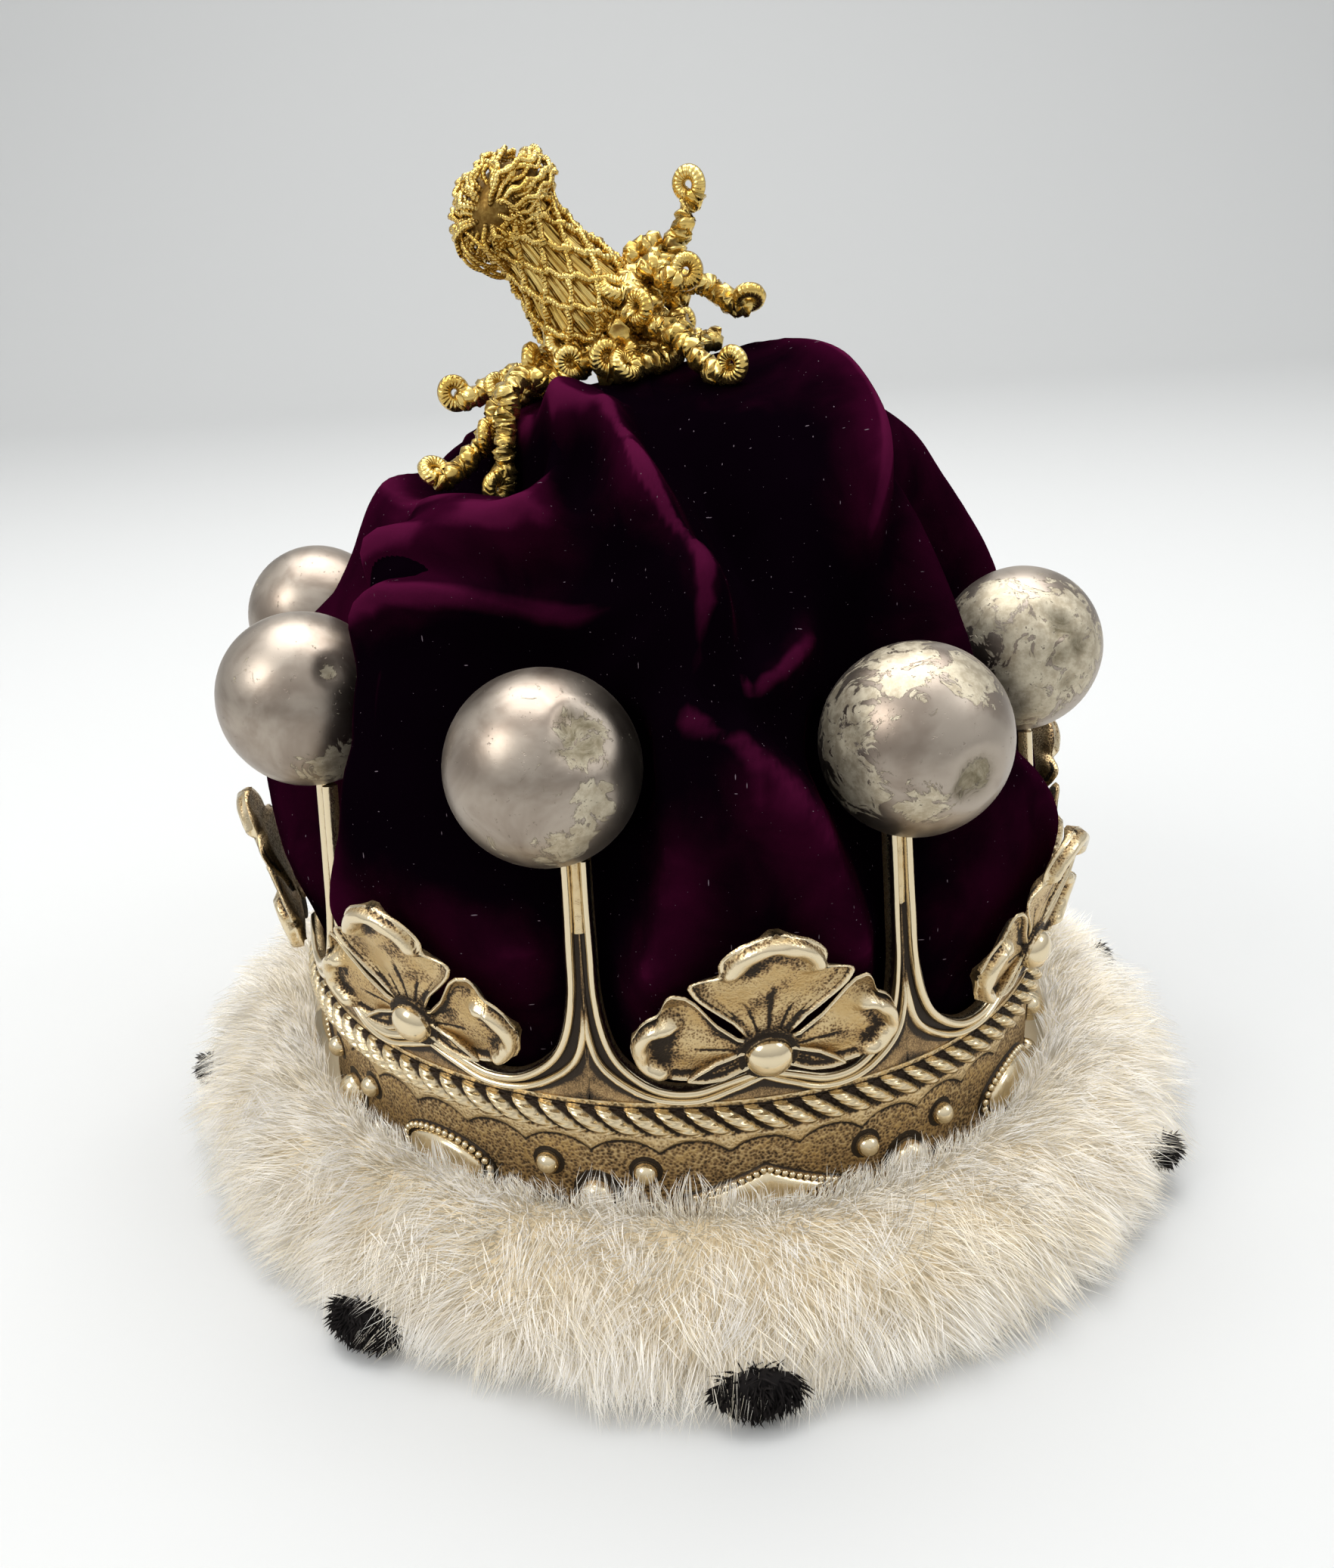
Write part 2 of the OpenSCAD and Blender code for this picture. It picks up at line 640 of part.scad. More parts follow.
module head() {
    // From the cap to the end of the knob: [share of the head's length, radius]
    stations = [
        [0, 6], [0.16, 11.6], [0.32, 12], [0.64, 8.6], [0.92, knob_r - 1.2],
        [1.06, knob_r + 1], [1.2, knob_r - 1.5], [1.27, 4]
    ];
    bar([for (s = stations) disc(tassel_foot + head_way * head_length * s[0], head_way, s[1], 12)]);
}

// Height at which a bullion lies on the cap, by turn and radius
function cap_height(turn, r) = lookup(r, [
    for (e = [88:-6:22]) let (p = cap_point(turn, e, 0)) [norm([p.x, p.y]), p.z]
]);
function over_cap(turn, r) = let (z = cap_height(turn, r), slope = (z - cap_height(turn, r + 4)) / 4)
    z + (bullion_r + 3.3) * sqrt(1 + slope * slope);

// A bullion: a round cord that bends over the cap and ends in a curl
module bullion(b) {
    path = concat([tassel_foot + head_way * 8], [
        for (p = [[0.5, b[2]], [0.85, lean(b[2], b[3], 0.7)], [1, b[3]]]) let (
            flat = round_at(b[0], b[1] * p[0], 0) + tassel_foot,
            turn = atan2(flat.x, -flat.y)
        ) [flat.x, flat.y, max(flat.z + p[1], over_cap(turn, norm([flat.x, flat.y])))]
    ]);
    last = len(path) - 1;
    bar([
        for (i = [0:last])
            disc(path[i], path[min(last, i + 1)] - path[max(0, i - 1)], bullion_r, 5)
    ]);
    // The curl at the tip
    hull() for (up = [-0.5, b[4]])
        translate(path[last] + [0, 0, up]) rotate([0, 0, b[0] + 20]) sphere(r = bullion_r * 1.25, $fn = 5);
}

module tassel() {
    color("#c9a53c") union() {
        head();
        for (b = BULLIONS) bullion(b);
    }
}

circlet();
velvet_cap();
fur_band();
tassel();
for (k = [0:count - 1]) {
    leaf(k);
    ball(k);
    ermine_tail(k);
}
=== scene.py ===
"""A coronet at rest: a chased silver-gilt circlet with leaves and silver balls, a velvet cap with a
gold tassel, and a band of white fur with dark tails.

Shapes are worked out in millimetres and degrees and put into the meshes in metres. Z is up, the
floor is z = 0, the front faces -Y, and a turn runs from the front towards the right.
"""

import bpy
import numpy as np
from mathutils import Matrix, Vector


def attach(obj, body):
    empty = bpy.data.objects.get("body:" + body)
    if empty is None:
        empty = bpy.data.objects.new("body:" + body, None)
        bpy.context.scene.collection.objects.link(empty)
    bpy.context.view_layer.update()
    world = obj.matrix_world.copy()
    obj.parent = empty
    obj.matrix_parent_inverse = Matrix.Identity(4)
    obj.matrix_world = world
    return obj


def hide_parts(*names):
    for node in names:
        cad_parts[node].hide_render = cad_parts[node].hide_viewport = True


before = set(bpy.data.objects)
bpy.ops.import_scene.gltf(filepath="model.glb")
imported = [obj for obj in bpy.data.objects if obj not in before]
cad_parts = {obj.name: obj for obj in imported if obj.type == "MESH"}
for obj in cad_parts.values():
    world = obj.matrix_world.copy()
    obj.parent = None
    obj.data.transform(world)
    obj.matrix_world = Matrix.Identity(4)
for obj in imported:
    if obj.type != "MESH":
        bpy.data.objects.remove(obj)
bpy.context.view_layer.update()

DEG = np.pi / 180
MM = 0.001

# ---- Sizes that the solids have too ----
BAND_R, WALL, RIM_Z, BAND_TOP = 97.0, 2.0, 8.0, 46.0
OVAL_SHARE, OVAL_TURN, FIRST_RAY, RAY_LEAN = 0.038, 37.0, -13.6, 0.1
ROPE_Z, ROPE_HALF, ROPE_PROUD, JEWEL_Z = 41.3, 3.4, 3.0, 21.5
BALL_R, BALL_RING, BALL_Z, GAP = 19.0, 92.1, 119.7, 0.3
LEAF_Z, LEAF_LEAN, FILLET = 59.5, 12.0, 1.4
VELVET, CAP_WIDE_Z, CAP_WIDE_R, CAP_RISE = 2.0, 76.0, 98.0, 105.0
CAP_TILT, CAP_TILT_TURN, CAP_SHIFT = 7.0, 60.0, 2.0
CAP_FULL, CAP_FULL_SIDE, CAP_SLACK_TURN = 2.3, 0.4, 110.0
FUR_R, FUR_LONG, FUR_HOLE_R = 140.0, 1.7, 89.0
HEAD_LENGTH, HEAD_LEAN = 34.0, 38.0
COUNT, STEP = 8, 45.0

# Each ray and ball a little off its even place: ray turn, ball turn, ball out, ball up
PLACES = np.array([
    [0.5, -2.0, 1.4, -1.1], [-1.8, -0.7, 2.0, -1.9], [0, 0.5, -3.0, -1.8], [0, 0, 0, 0],
    [0, 0, 0, 0], [0, 0, 0, 0], [0, -1.6, -0.2, 3.1], [0, -1.0, -0.1, 1.7]])

# Half a bay of the arcade, from the top of a ray down to the middle under the leaf:
# upper fillet turn and height, lower fillet turn and height, how far the lower one is raised
ARCADE = [
    [21.3, 200, 22.2, 200, 0], [21.3, 90, 22.3, 90, 0], [21.2, 80, 22.3, 80, 0],
    [21.05, 70, 22.2, 71, 0], [19.9, 60, 22.1, 60.6, 1], [17.7, 53.8, 20.2, 53.2, 1],
    [13.6, 49.2, 14.8, 47.4, 1], [9.0, 48.4, 8.9, 46.3, 1], [4.4, 50.6, 3.9, 48.8, 1],
    [0, 52.6, 0, 51.2, 1]]

# Ridges and hollows of the velvet on three guiding points:
# turn 1, rise 1, turn 2, rise 2, turn 3, rise 3, height, width on the left, width on the right
FOLDS = [
    [-13, 66, 0, 47, 7, 33, 12, 13, 7], [5, 41, 4, 34, 0, 23, 11, 7, 8],
    [2, 35, -5, 35, -17, 31, 9, 6, 9], [-5, 26, 20, 25, 24, -12, 12, 18, 7],
    [-3, 29, 2, 16, -8, -6, 11, 7, 16], [-54, 31, -32, 43, 6, 37, 10, 8, 8],
    [-48, 45, -48, 24, -50, -10, 10, 8, 20], [-64, 37, -42, 46, -21, 48, 9, 9, 9],
    [-34, 74, -16, 60, -24, 48, 8, 7, 8], [-17, 14, -17, 4, -14, -6, 6, 16, 7],
    [72, 78, 42, 54, 26, 29, 11, 20, 8], [8, 27, 16, 31, 29, 36, 9, 7, 8],
    [54, 12, 60, 8, 60, 2, 4, 12, 12], [66, 50, 60, 33, 56, 14, -22, 22, 22],
    [84, 76, 66, 66, 62, 52, 3, 18, 18],
    [4, 70, 15, 46, 14, 24, -16, 15, 17], [-100, 62, -50, 62, -12, 56, -16, 16, 12],
    [-50, 46, -34, 46, -20, 45, -5, 8, 8], [-130, 40, -100, 46, -72, 36, -15, 34, 30],
    [-140, 72, -136, 46, -150, 14, 9, 12, 14], [172, 74, 164, 44, 174, 10, 8, 14, 12],
    [128, 72, 134, 48, 120, 14, 9, 10, 14], [96, 66, 88, 46, 100, 20, 6, 14, 10]]
# By rise: how far the velvet goes in behind a ray, how wide that hollow is, and how much it flattens
# the folds; how far the foot is drawn in; how far the velvet swells between rays; how much it folds
POST_DEPTH = [[-40, 0], [-28, 2], [-14, 7], [2, 10.5], [10, 16], [23, 26], [36, 18], [50, 5], [62, 0]]
POST_WIDTH = [[-40, 5.5], [2, 6.5], [12, 12.5], [23, 15], [50, 15]]
POST_ROOM = [[-10, 0.4], [8, 0.9], [36, 0.9], [48, 0]]
CAP_FOOT = [[-40, 6.5], [-27, 5.4], [-20, 4.4], [-13, 2.6], [-5, 0.6], [0, 0]]
SWELL = [[-24, 0], [-12, 1], [0, 3], [8, 4], [18, 6.5], [28, 6], [45, 2], [60, 0]]
FOLD_EASE = [[-24, 0], [-8, 0.3], [12, 1]]
VELVET_OFF = 2.6

# Curled bullions: turn, reach, rise at the bend, rise at the tip, and a curl at the tip unless the last
# number is 0
BULLIONS = [
    [76, 20, 10, 28, 4], [80, 31, 11, 5.5, 5], [38, 38, 2, -8, 3], [18, 14, 9, 4, 5],
    [12, 20, 1, -6, 3], [-30, 16, 1, -5, 5], [-62, 20, 2.2, -5, 5], [-77, 25, -2.2, -9, 5],
    [-81, 36, -4, -11, 3], [-58, 34, -8, -21, 3], [-56, 48, -15, -25, 3], [-39, 40, -16, -27, 3],
    [136, 21, 6, 0, 5], [-150, 22, 2, -8, 5]]
# Short coils that fill the space under the leaning head, the same way
FILLING = [
    [92, 13, 12, 15, 0], [62, 14, 13, 17, 0], [45, 11, 7, 3, 0], [70, 16, 5, 1, 0], [102, 15, 4, 2, 0],
    [25, 13, 12, 10, 0], [0, 11, 8, 3, 0], [-20, 13, 6, 0, 0], [-45, 13, 5, -1, 4], [112, 18, 8, 8, 0],
    [54, 18, 14, 11, 4], [36, 16, 9, 6, 0], [84, 11, 17, 19, 0], [6, 15, 4, 2, 0], [140, 14, 10, 8, 0],
    [-110, 12, 3, 0, 4], [175, 13, 4, 0, 4], [30, 17, 0, -5, 0], [48, 20, 0, -4, 0], [64, 22, 1, -3, 0],
    [10, 17, 0, -6, 0], [-6, 18, -1, -7, 0], [78, 24, 1, -2, 0], [98, 20, 0, -3, 0]]
# Coils that hang in a bow in front, as places from the foot of the head
HANGING = [[[15, -5, 4], [13.5, -11.5, -1], [10.5, -15.5, -5], [4.5, -17.5, -7.5], [-2, -17, -6.5]],
           [[6, -6, 9], [5, -10, 9.5], [2, -12.5, 9]]]
# Dark tails: turn from the leaf above, height of the root
TAILS = [[-6.3, 12], [3, 13], [0, 14], [2, 13], [0, 14], [3, 14], [0, 14], [2.8, 11]]


# ---- Numbers and curves ----
def look(x, table):
    """Straight lines between the rows of a table of x and y."""
    t = np.array(table, float)
    return np.interp(x, t[:, 0], t[:, 1])


def near(d):
    """A difference of two turns, brought to -180 to 180."""
    return d - 360 * np.round(d / 360)


def ease(a, b, x):
    """0 below a, 1 above b, and 3t^2 - 2t^3 between."""
    t = np.clip((np.asarray(x, float) - a) / (b - a), 0, 1)
    return t * t * (3 - 2 * t)


def mixed(a, b, t):
    """From a to b by the share t."""
    return a + (b - a) * t


def unit(v):
    """Each vector over its own length."""
    return v / np.maximum(np.linalg.norm(v, axis=-1, keepdims=True), 1e-9)


def ovalled(p):
    """The circle pulled longer along one turn and shorter across it."""
    s, c = np.sin(OVAL_TURN * DEG), np.cos(OVAL_TURN * DEG)
    along = (p[..., 0] * s - p[..., 1] * c) * (1 + OVAL_SHARE)
    across = (p[..., 0] * c + p[..., 1] * s) * (1 - OVAL_SHARE)
    return np.stack([along * s + across * c, -along * c + across * s, p[..., 2]], -1)


def at(turn, r, z):
    """A turn, radius and height on the circle, then on the oval."""
    turn, r, z = np.broadcast_arrays(turn, r, z)
    return ovalled(np.stack([r * np.sin(turn * DEG), -r * np.cos(turn * DEG), z], -1).astype(float))


def way_at(turn, rise):
    """The direction of a turn and a rise from level."""
    return np.stack(np.broadcast_arrays(
        np.cos(rise * DEG) * np.sin(turn * DEG), -np.cos(rise * DEG) * np.cos(turn * DEG),
        np.sin(rise * DEG)), -1)


def turns(n):
    """n turns evenly round, in degrees."""
    return np.arange(n) * 360 / n


def spline(rows, n):
    """A Catmull-Rom curve through the rows: on each span the cubic whose ends have the slope of
    the line between the two neighbours."""
    rows = np.asarray(rows, float)
    t = np.linspace(0, len(rows) - 1, n)
    i = np.minimum(t.astype(int), len(rows) - 2)
    f = (t - i)[:, None]
    p0, p1 = rows[np.maximum(i - 1, 0)], rows[i]
    p2, p3 = rows[i + 1], rows[np.minimum(i + 2, len(rows) - 1)]
    return 0.5 * (2 * p1 + (p2 - p0) * f + (2 * p0 - 5 * p1 + 4 * p2 - p3) * f**2
                  + (3 * p1 - p0 - 3 * p2 + p3) * f**3)


def run_of(path):
    """Length along a path up to each of its points."""
    return np.concatenate([[0], np.cumsum(np.linalg.norm(np.diff(path, axis=0), axis=-1))])


def ripple(p, size, seed, waves=9):
    """Plane waves about size millimetres long, in random directions, added up to about -1 to 1."""
    rng = np.random.default_rng(seed)
    way = unit(rng.normal(size=(waves, 3))) * 2 * np.pi / size * rng.uniform(0.6, 1.5, (waves, 1))
    return np.sin(p @ way.T + rng.uniform(0, 2 * np.pi, waves)).sum(-1) / np.sqrt(2 * waves)


# ---- Meshes ----
def volume(co, quads, tris):
    """Six times the volume inside the faces, more than 0 where they point outwards."""
    t = np.concatenate([quads[:, [0, 1, 2]], quads[:, [0, 2, 3]], tris])
    return np.einsum("ij,ij->i", co[t[:, 0]], np.cross(co[t[:, 1]], co[t[:, 2]])).sum()


def outwards(co, quads, tris):
    """The faces, turned round where they point inwards."""
    return (quads[:, ::-1], tris[:, ::-1]) if volume(co, quads, tris) < 0 else (quads, tris)


def shell(points, round_u=False, gap=-1, **marks):
    """A closed skin over a grid of sections, each a closed ring of points. The sections go round
    too, or there is a gap after one of them, the last if none is named, and the two sections at
    the gap are each closed with a fan round their middle."""
    n, m = points.shape[:2]
    gap = gap % n
    i = np.arange(n)[:, None]
    j = np.arange(m)[None, :]
    if not round_u:
        i = np.delete(i, gap, 0)
    a, b = i * m + j, i * m + (j + 1) % m
    d, c = (i + 1) % n * m + j, (i + 1) % n * m + (j + 1) % m
    quads = np.stack([a, b, c, d], -1).reshape(-1, 4)
    co = points.reshape(-1, 3)
    marks = {k: np.broadcast_to(v, (n, m)).astype(float) for k, v in marks.items()}
    ends = {k: v[[(gap + 1) % n, gap]].mean(1) for k, v in marks.items()}
    marks = {k: v.reshape(-1) for k, v in marks.items()}
    tris = np.zeros((0, 3), int)
    if not round_u:
        k, first, last = np.arange(m), (gap + 1) % n, gap
        tris = np.concatenate([
            np.stack([np.full(m, n * m), first * m + (k + 1) % m, first * m + k], -1),
            np.stack([np.full(m, n * m + 1), last * m + k, last * m + (k + 1) % m], -1)])
        co = np.concatenate([co, [points[first].mean(0), points[last].mean(0)]])
        marks = {k: np.append(v, ends[k]) for k, v in marks.items()}
    quads, tris = outwards(co, quads, tris)
    return {"co": co, "quads": quads, "tris": tris, "marks": marks}


def joined(shells):
    """Several skins as one. A mark that a skin doesn't have is 0 on it."""
    names = sorted({k for s in shells for k in s["marks"]})
    starts = np.cumsum([0] + [len(s["co"]) for s in shells])
    return {
        "co": np.concatenate([s["co"] for s in shells]),
        "quads": np.concatenate([s["quads"] + k for s, k in zip(shells, starts)]),
        "tris": np.concatenate([s["tris"] + k for s, k in zip(shells, starts)]),
        "marks": {k: np.concatenate([s["marks"].get(k, np.zeros(len(s["co"]))) for s in shells])
                  for k in names},
    }


def make(name, skin, finish, slot, *nodes, sharp=None):
    """Put a skin into a mesh object that rides on the root and stands for its nodes."""
    mesh = bpy.data.meshes.new(name)
    quads, tris = skin["quads"], skin["tris"]
    corners = np.concatenate([quads.ravel(), tris.ravel()]).astype(np.int32)
    starts = np.concatenate([np.arange(len(quads)) * 4, len(quads) * 4 + np.arange(len(tris)) * 3])
    mesh.vertices.add(len(skin["co"]))
    mesh.vertices.foreach_set("co", (skin["co"] * MM).astype(np.float32).ravel())
    mesh.loops.add(len(corners))
    mesh.loops.foreach_set("vertex_index", corners)
    mesh.polygons.add(len(starts))
    mesh.polygons.foreach_set("loop_start", starts.astype(np.int32))
    mesh.polygons.foreach_set("use_smooth", np.ones(len(starts), bool))
    mesh.update(calc_edges=True)
    if sharp:
        mesh.set_sharp_from_angle(angle=sharp * DEG)
    for mark, values in skin["marks"].items():
        mesh.attributes.new(mark, "FLOAT", "POINT").data.foreach_set("value", values.astype(np.float32))
    mesh.materials.append(finish)
    piece = bpy.data.objects.new(name, mesh)
    bpy.context.collection.objects.link(piece)
    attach(piece, "root")
    if nodes:
        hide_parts(*nodes)
    return piece


def frames(path, up=(0, 0, 1)):
    """Two unit directions across a path at each point, kept steady by a guiding direction."""
    way = unit(np.gradient(path, axis=0))
    side = unit(np.cross(way, np.broadcast_to(up, way.shape)))
    return side, np.cross(side, way)


def tube(path, radius, sides=8, up=(0.13, 0.2, 1), closed=False, **marks):
    """A round skin along a path: centre + radius (side cos a + over sin a). A closed path has no
    ends. The mark along is the length in millimetres, and around is the angle in turns."""
    path = np.asarray(path, float)
    if closed:
        wrapped = np.concatenate([path[-1:], path, path[:1]])
        side, over = (v[1:-1] for v in frames(wrapped, up))
    else:
        side, over = frames(path, up)
    a = turns(sides)[None, :, None] * DEG
    r = np.asarray(radius, float)
    r = r if r.ndim == 2 else np.broadcast_to(r, (len(path),))[:, None].repeat(sides, 1)
    skin = path[:, None] + r[..., None] * (side[:, None] * np.cos(a) + over[:, None] * np.sin(a))
    return shell(skin, closed, along=run_of(path)[:, None],
                 around=np.arange(sides)[None, :] / sides, **marks)


# ---- Shader expressions ----
class Wire:
    """A value socket that takes Python's operators, each of which adds one Math node."""

    def __init__(self, paint, socket):
        self.paint, self.socket = paint, socket

    def do(self, how, *values):
        """One Math node."""
        return self.paint.node("ShaderNodeMath", {"operation": how}, dict(enumerate(values)))

    def __add__(self, o): return self.do("ADD", self, o)
    def __radd__(self, o): return self.do("ADD", o, self)
    def __sub__(self, o): return self.do("SUBTRACT", self, o)
    def __rsub__(self, o): return self.do("SUBTRACT", o, self)
    def __mul__(self, o): return self.do("MULTIPLY", self, o)
    def __rmul__(self, o): return self.do("MULTIPLY", o, self)
    def sin(self): return self.do("SINE", self)
    def abs(self): return self.do("ABSOLUTE", self)
    def least(self, o): return self.do("MINIMUM", self, o)
    def most(self, o): return self.do("MAXIMUM", self, o)

    def ramp(self, a, b):
        """0 below a, 1 above b, eased between."""
        return self.paint.node("ShaderNodeMapRange", {"interpolation_type": "SMOOTHSTEP"},
                               {0: self, 1: a, 2: b, 3: 0.0, 4: 1.0})


class Paint:
    """One material, or the sky: nodes come from one method."""

    def __init__(self, name, sky=False):
        self.owner = (bpy.data.worlds if sky else bpy.data.materials).new(name)
        self.owner.use_nodes = True
        self.tree = self.owner.node_tree
        self.tree.nodes.clear()
        self.out = self.tree.nodes.new("ShaderNodeOutputWorld" if sky else "ShaderNodeOutputMaterial")
        self.place = self.node("ShaderNodeTexCoord", {}, {}, "Generated" if sky else "Object")

    def node(self, kind, settings, values, take=0):
        """One output of a new node with these settings, values and wires."""
        n = self.tree.nodes.new(kind)
        for k, v in settings.items():
            setattr(n, k, v)
        for k, v in values.items():
            if isinstance(v, Wire):
                self.tree.links.new(v.socket, n.inputs[k])
            else:
                n.inputs[k].default_value = v
        return Wire(self, n.outputs[take])

    def shown(self, shader):
        """The material or sky, with this shader on it."""
        self.tree.links.new(shader.socket, self.out.inputs["Surface"])
        return self.owner

    def mark(self, name):
        """A value that the mesh holds at each of its points."""
        return self.node("ShaderNodeAttribute", {"attribute_name": name}, {}, "Fac")

    def noise(self, size, detail=3.0, rough=0.55, bend=0.0):
        """Cloudy noise whose features are about size millimetres wide, about 0.5."""
        return self.node("ShaderNodeTexNoise", {}, {
            "Vector": self.place, "Scale": 1 / (size * MM), "Detail": detail, "Roughness": rough,
            "Distortion": bend})

    def cells(self, size, where):
        """How far a place is from the middle of its cell, the cells about size millimetres wide."""
        return self.node("ShaderNodeTexVoronoi", {}, {
            "Vector": where, "Scale": 1 / (size * MM)}, "Distance")

    def fibres(self, size, squeeze, thin):
        """Thin specks about size millimetres apart, drawn out where the squeeze is less than 1."""
        where = self.node("ShaderNodeVectorMath", {"operation": "MULTIPLY"}, {0: self.place, 1: squeeze})
        return 1 - self.cells(size, where).ramp(thin * 0.6, thin)

    def bent_place(self, size, much):
        """The place, in metres, moved by noise of that size and strength in millimetres."""
        cloud = self.node("ShaderNodeTexNoise", {}, {
            "Vector": self.place, "Scale": 1 / (size * MM), "Detail": 1.0}, "Color")
        return self.node("ShaderNodeVectorMath", {"operation": "MULTIPLY_ADD"},
                         {0: cloud, 1: (much * MM,) * 3, 2: self.place})

    def mix(self, share, a, b):
        """One colour to another by a share."""
        full = [(*c, 1) if isinstance(c, tuple) else c for c in (a, b)]
        return self.node("ShaderNodeMix", {"data_type": "RGBA"}, {0: share, 6: full[0], 7: full[1]}, 2)

    def bump(self, height, depth, strength, onto=None):
        """Relief whose height 0 to 1 stands for depth millimetres."""
        values = {"Height": height, "Distance": depth * MM, "Strength": strength}
        if onto:
            values["Normal"] = onto
        return self.node("ShaderNodeBump", {}, values)

    def finish(self, **values):
        """The material with one shader, whose sockets take these values and expressions."""
        return self.shown(self.node("ShaderNodeBsdfPrincipled", {}, {
            k.replace("_", " "): (*v, 1) if isinstance(v, tuple) else v for k, v in values.items()}))


def gilt_finish(name, grain_size, grain_depth, matt):
    """Silver-gilt: worn pale on what stands proud, dark brown in what the mark hollow holds, with
    a struck grain. The mark holds the patina of the hollows, and on the leaves painted shade as well.
    The mark shine takes the grain away on polished parts."""
    p = Paint(name)
    hollow, shine = p.mark("hollow"), p.mark("shine")
    cloud, fine = p.noise(9.0, 4.0, 0.6), p.noise(1.6, 3.0, 0.6)
    grain = p.cells(grain_size, p.bent_place(2.0, 0.8))
    dark = (hollow * 1.15 + (cloud - 0.5) * 0.45 + (fine - 0.5) * 0.35
            - (grain - 0.4) * matt * 0.70).ramp(0.22, 1.0)
    gold = p.mix(cloud.ramp(0.35, 0.7), (0.58, 0.41, 0.19), (0.70, 0.55, 0.31))
    worn = p.mix((shine * 0.8 + fine * 0.4).ramp(0.2, 0.9), gold, (0.77, 0.65, 0.44))
    colour = p.mix(dark.ramp(0.0, 0.55), worn, (0.32, 0.205, 0.095))
    colour = p.mix(dark.ramp(0.4, 1.0), colour, (0.030, 0.020, 0.012))
    relief = p.bump(grain * (1 - shine), grain_depth, 1.0)
    relief = p.bump(fine, 0.05, 0.6, relief)
    return p.finish(Base_Color=colour, Metallic=1.0 - 0.45 * dark, Normal=relief,
                    Roughness=0.17 + matt * 0.25 * (1 - shine) + 0.28 * dark + 0.10 * (cloud - 0.5))


def rope_finish():
    """The rope's finish: bright crests with fine threads across each strand, dark between."""
    p = Paint("silver_gilt_rope")
    hollow = p.mark("hollow")
    thread = (p.mark("thread") * 2 * np.pi).sin() * 0.5 + 0.5
    fine = p.noise(1.2, 3.0, 0.6)
    dark = (hollow * 1.2 + (1 - thread) * 0.30 + (fine - 0.5) * 0.4).ramp(0.3, 1.0)
    colour = p.mix(dark, p.mix(fine, (0.66, 0.50, 0.27), (0.82, 0.71, 0.49)), (0.034, 0.021, 0.012))
    return p.finish(Base_Color=colour, Metallic=1.0 - 0.3 * dark, Normal=p.bump(thread, 0.20, 0.9),
                    Roughness=0.24 + 0.3 * dark)


def silver_finish():
    """Tarnished silver: satin warm grey with clouds, and torn patches of a paler, yellower skin."""
    p = Paint("tarnished_silver")
    cloud, fine, specks = p.noise(16.0, 4.0, 0.55, 0.6), p.noise(2.2, 5.0, 0.65), p.noise(0.9, 3.0, 0.7)
    torn = p.noise(6.5, 8.0, 0.68, 1.6)
    raw = p.mark("flake") + (torn - 0.5) * 3.0 - 0.06
    flake = raw.ramp(0.40, 0.43)
    brink = (1 - ((raw - 0.415) * 12.0).abs()).most(0.0)
    skin = p.mix(cloud.ramp(0.38, 0.62), (0.29, 0.236, 0.190), (0.43, 0.370, 0.308))
    bare = p.mix(fine.ramp(0.35, 0.65), (0.43, 0.365, 0.26), (0.62, 0.555, 0.42))
    pits = specks.ramp(0.61, 0.68) * (0.5 * fine.ramp(0.5, 0.6) + flake * fine.ramp(0.52, 0.6)).least(1.0)
    colour = p.mix(flake, skin, bare)
    # Darker olive inside the dents, broken up by the torn noise.
    dent_darkening = p.mark("dent").ramp(0.2, 1.2) * (torn * 2.4 - 0.55).least(0.9).most(0.05)
    colour = p.mix(dent_darkening, colour, (0.13, 0.105, 0.055))
    colour = p.mix((brink * 0.55 + pits * 0.8).least(1.0), colour, (0.13, 0.105, 0.08))
    relief = p.bump(flake * -1.0 - pits, 0.12, 0.8)
    relief = p.bump(fine, 0.05, 0.5, relief)
    return p.finish(Base_Color=colour, Metallic=1.0 - 0.3 * flake, Normal=relief,
                    Roughness=0.37 + 0.05 * flake + 0.3 * (fine - 0.4) * flake + 0.24 * (cloud - 0.5))


def velvet_finish():
    """Silk velvet: almost black, with painted light in its colour: dark purple painted sheen in placed
    patches and on the broad bulges, bright magenta painted highlights along the crests, and specks
    and threads of white lint."""
    p = Paint("crimson_velvet")
    crest, broad, nap = p.mark("crest"), p.mark("broad"), p.mark("nap")
    brushed, pile = p.noise(16.0, 4.0, 0.55, 0.5), p.noise(0.5, 2.0, 0.6)
    # Painted sheen: the near-black pile turns dark purple in the placed patches, on broad bulges and with
    # the brushed noise.
    turned = (nap + (brushed - 0.5) * 0.6 + broad * 0.32).ramp(0.30, 1.0)
    colour = p.mix(turned, (0.0018, 0.0004, 0.0018), (0.025, 0.0012, 0.0098))
    # Painted highlight: bright magenta along the crests of the folds, stronger where the painted sheen is.
    ridge = (crest + (brushed - 0.5) * 0.16 + (nap - 0.35) * 0.12).ramp(0.14, 0.38)
    colour = p.mix(ridge * (0.45 + 0.55 * turned), colour, (0.066, 0.0045, 0.026))
    lint = (p.fibres(1.7, (1.0, 1.0, 1.0), 0.042) + p.fibres(2.1, (0.13, 1.0, 0.8), 0.052)
            + p.fibres(2.3, (0.9, 0.6, 0.14), 0.048)).least(1.0)
    colour = p.mix(lint * 0.55, colour, (0.30, 0.24, 0.28))
    relief = p.bump(pile, 0.10, 0.5)
    relief = p.bump(brushed, 0.8, 0.25, relief)
    return p.finish(Base_Color=colour, Roughness=0.9, Normal=relief, Specular_IOR_Level=0.0,
                    Sheen_Weight=0.08, Sheen_Roughness=0.14, Sheen_Tint=(0.36, 0.018, 0.11))


# Marks that hold the way that the coat faces
OUT = ("out_x", "out_y", "out_z")


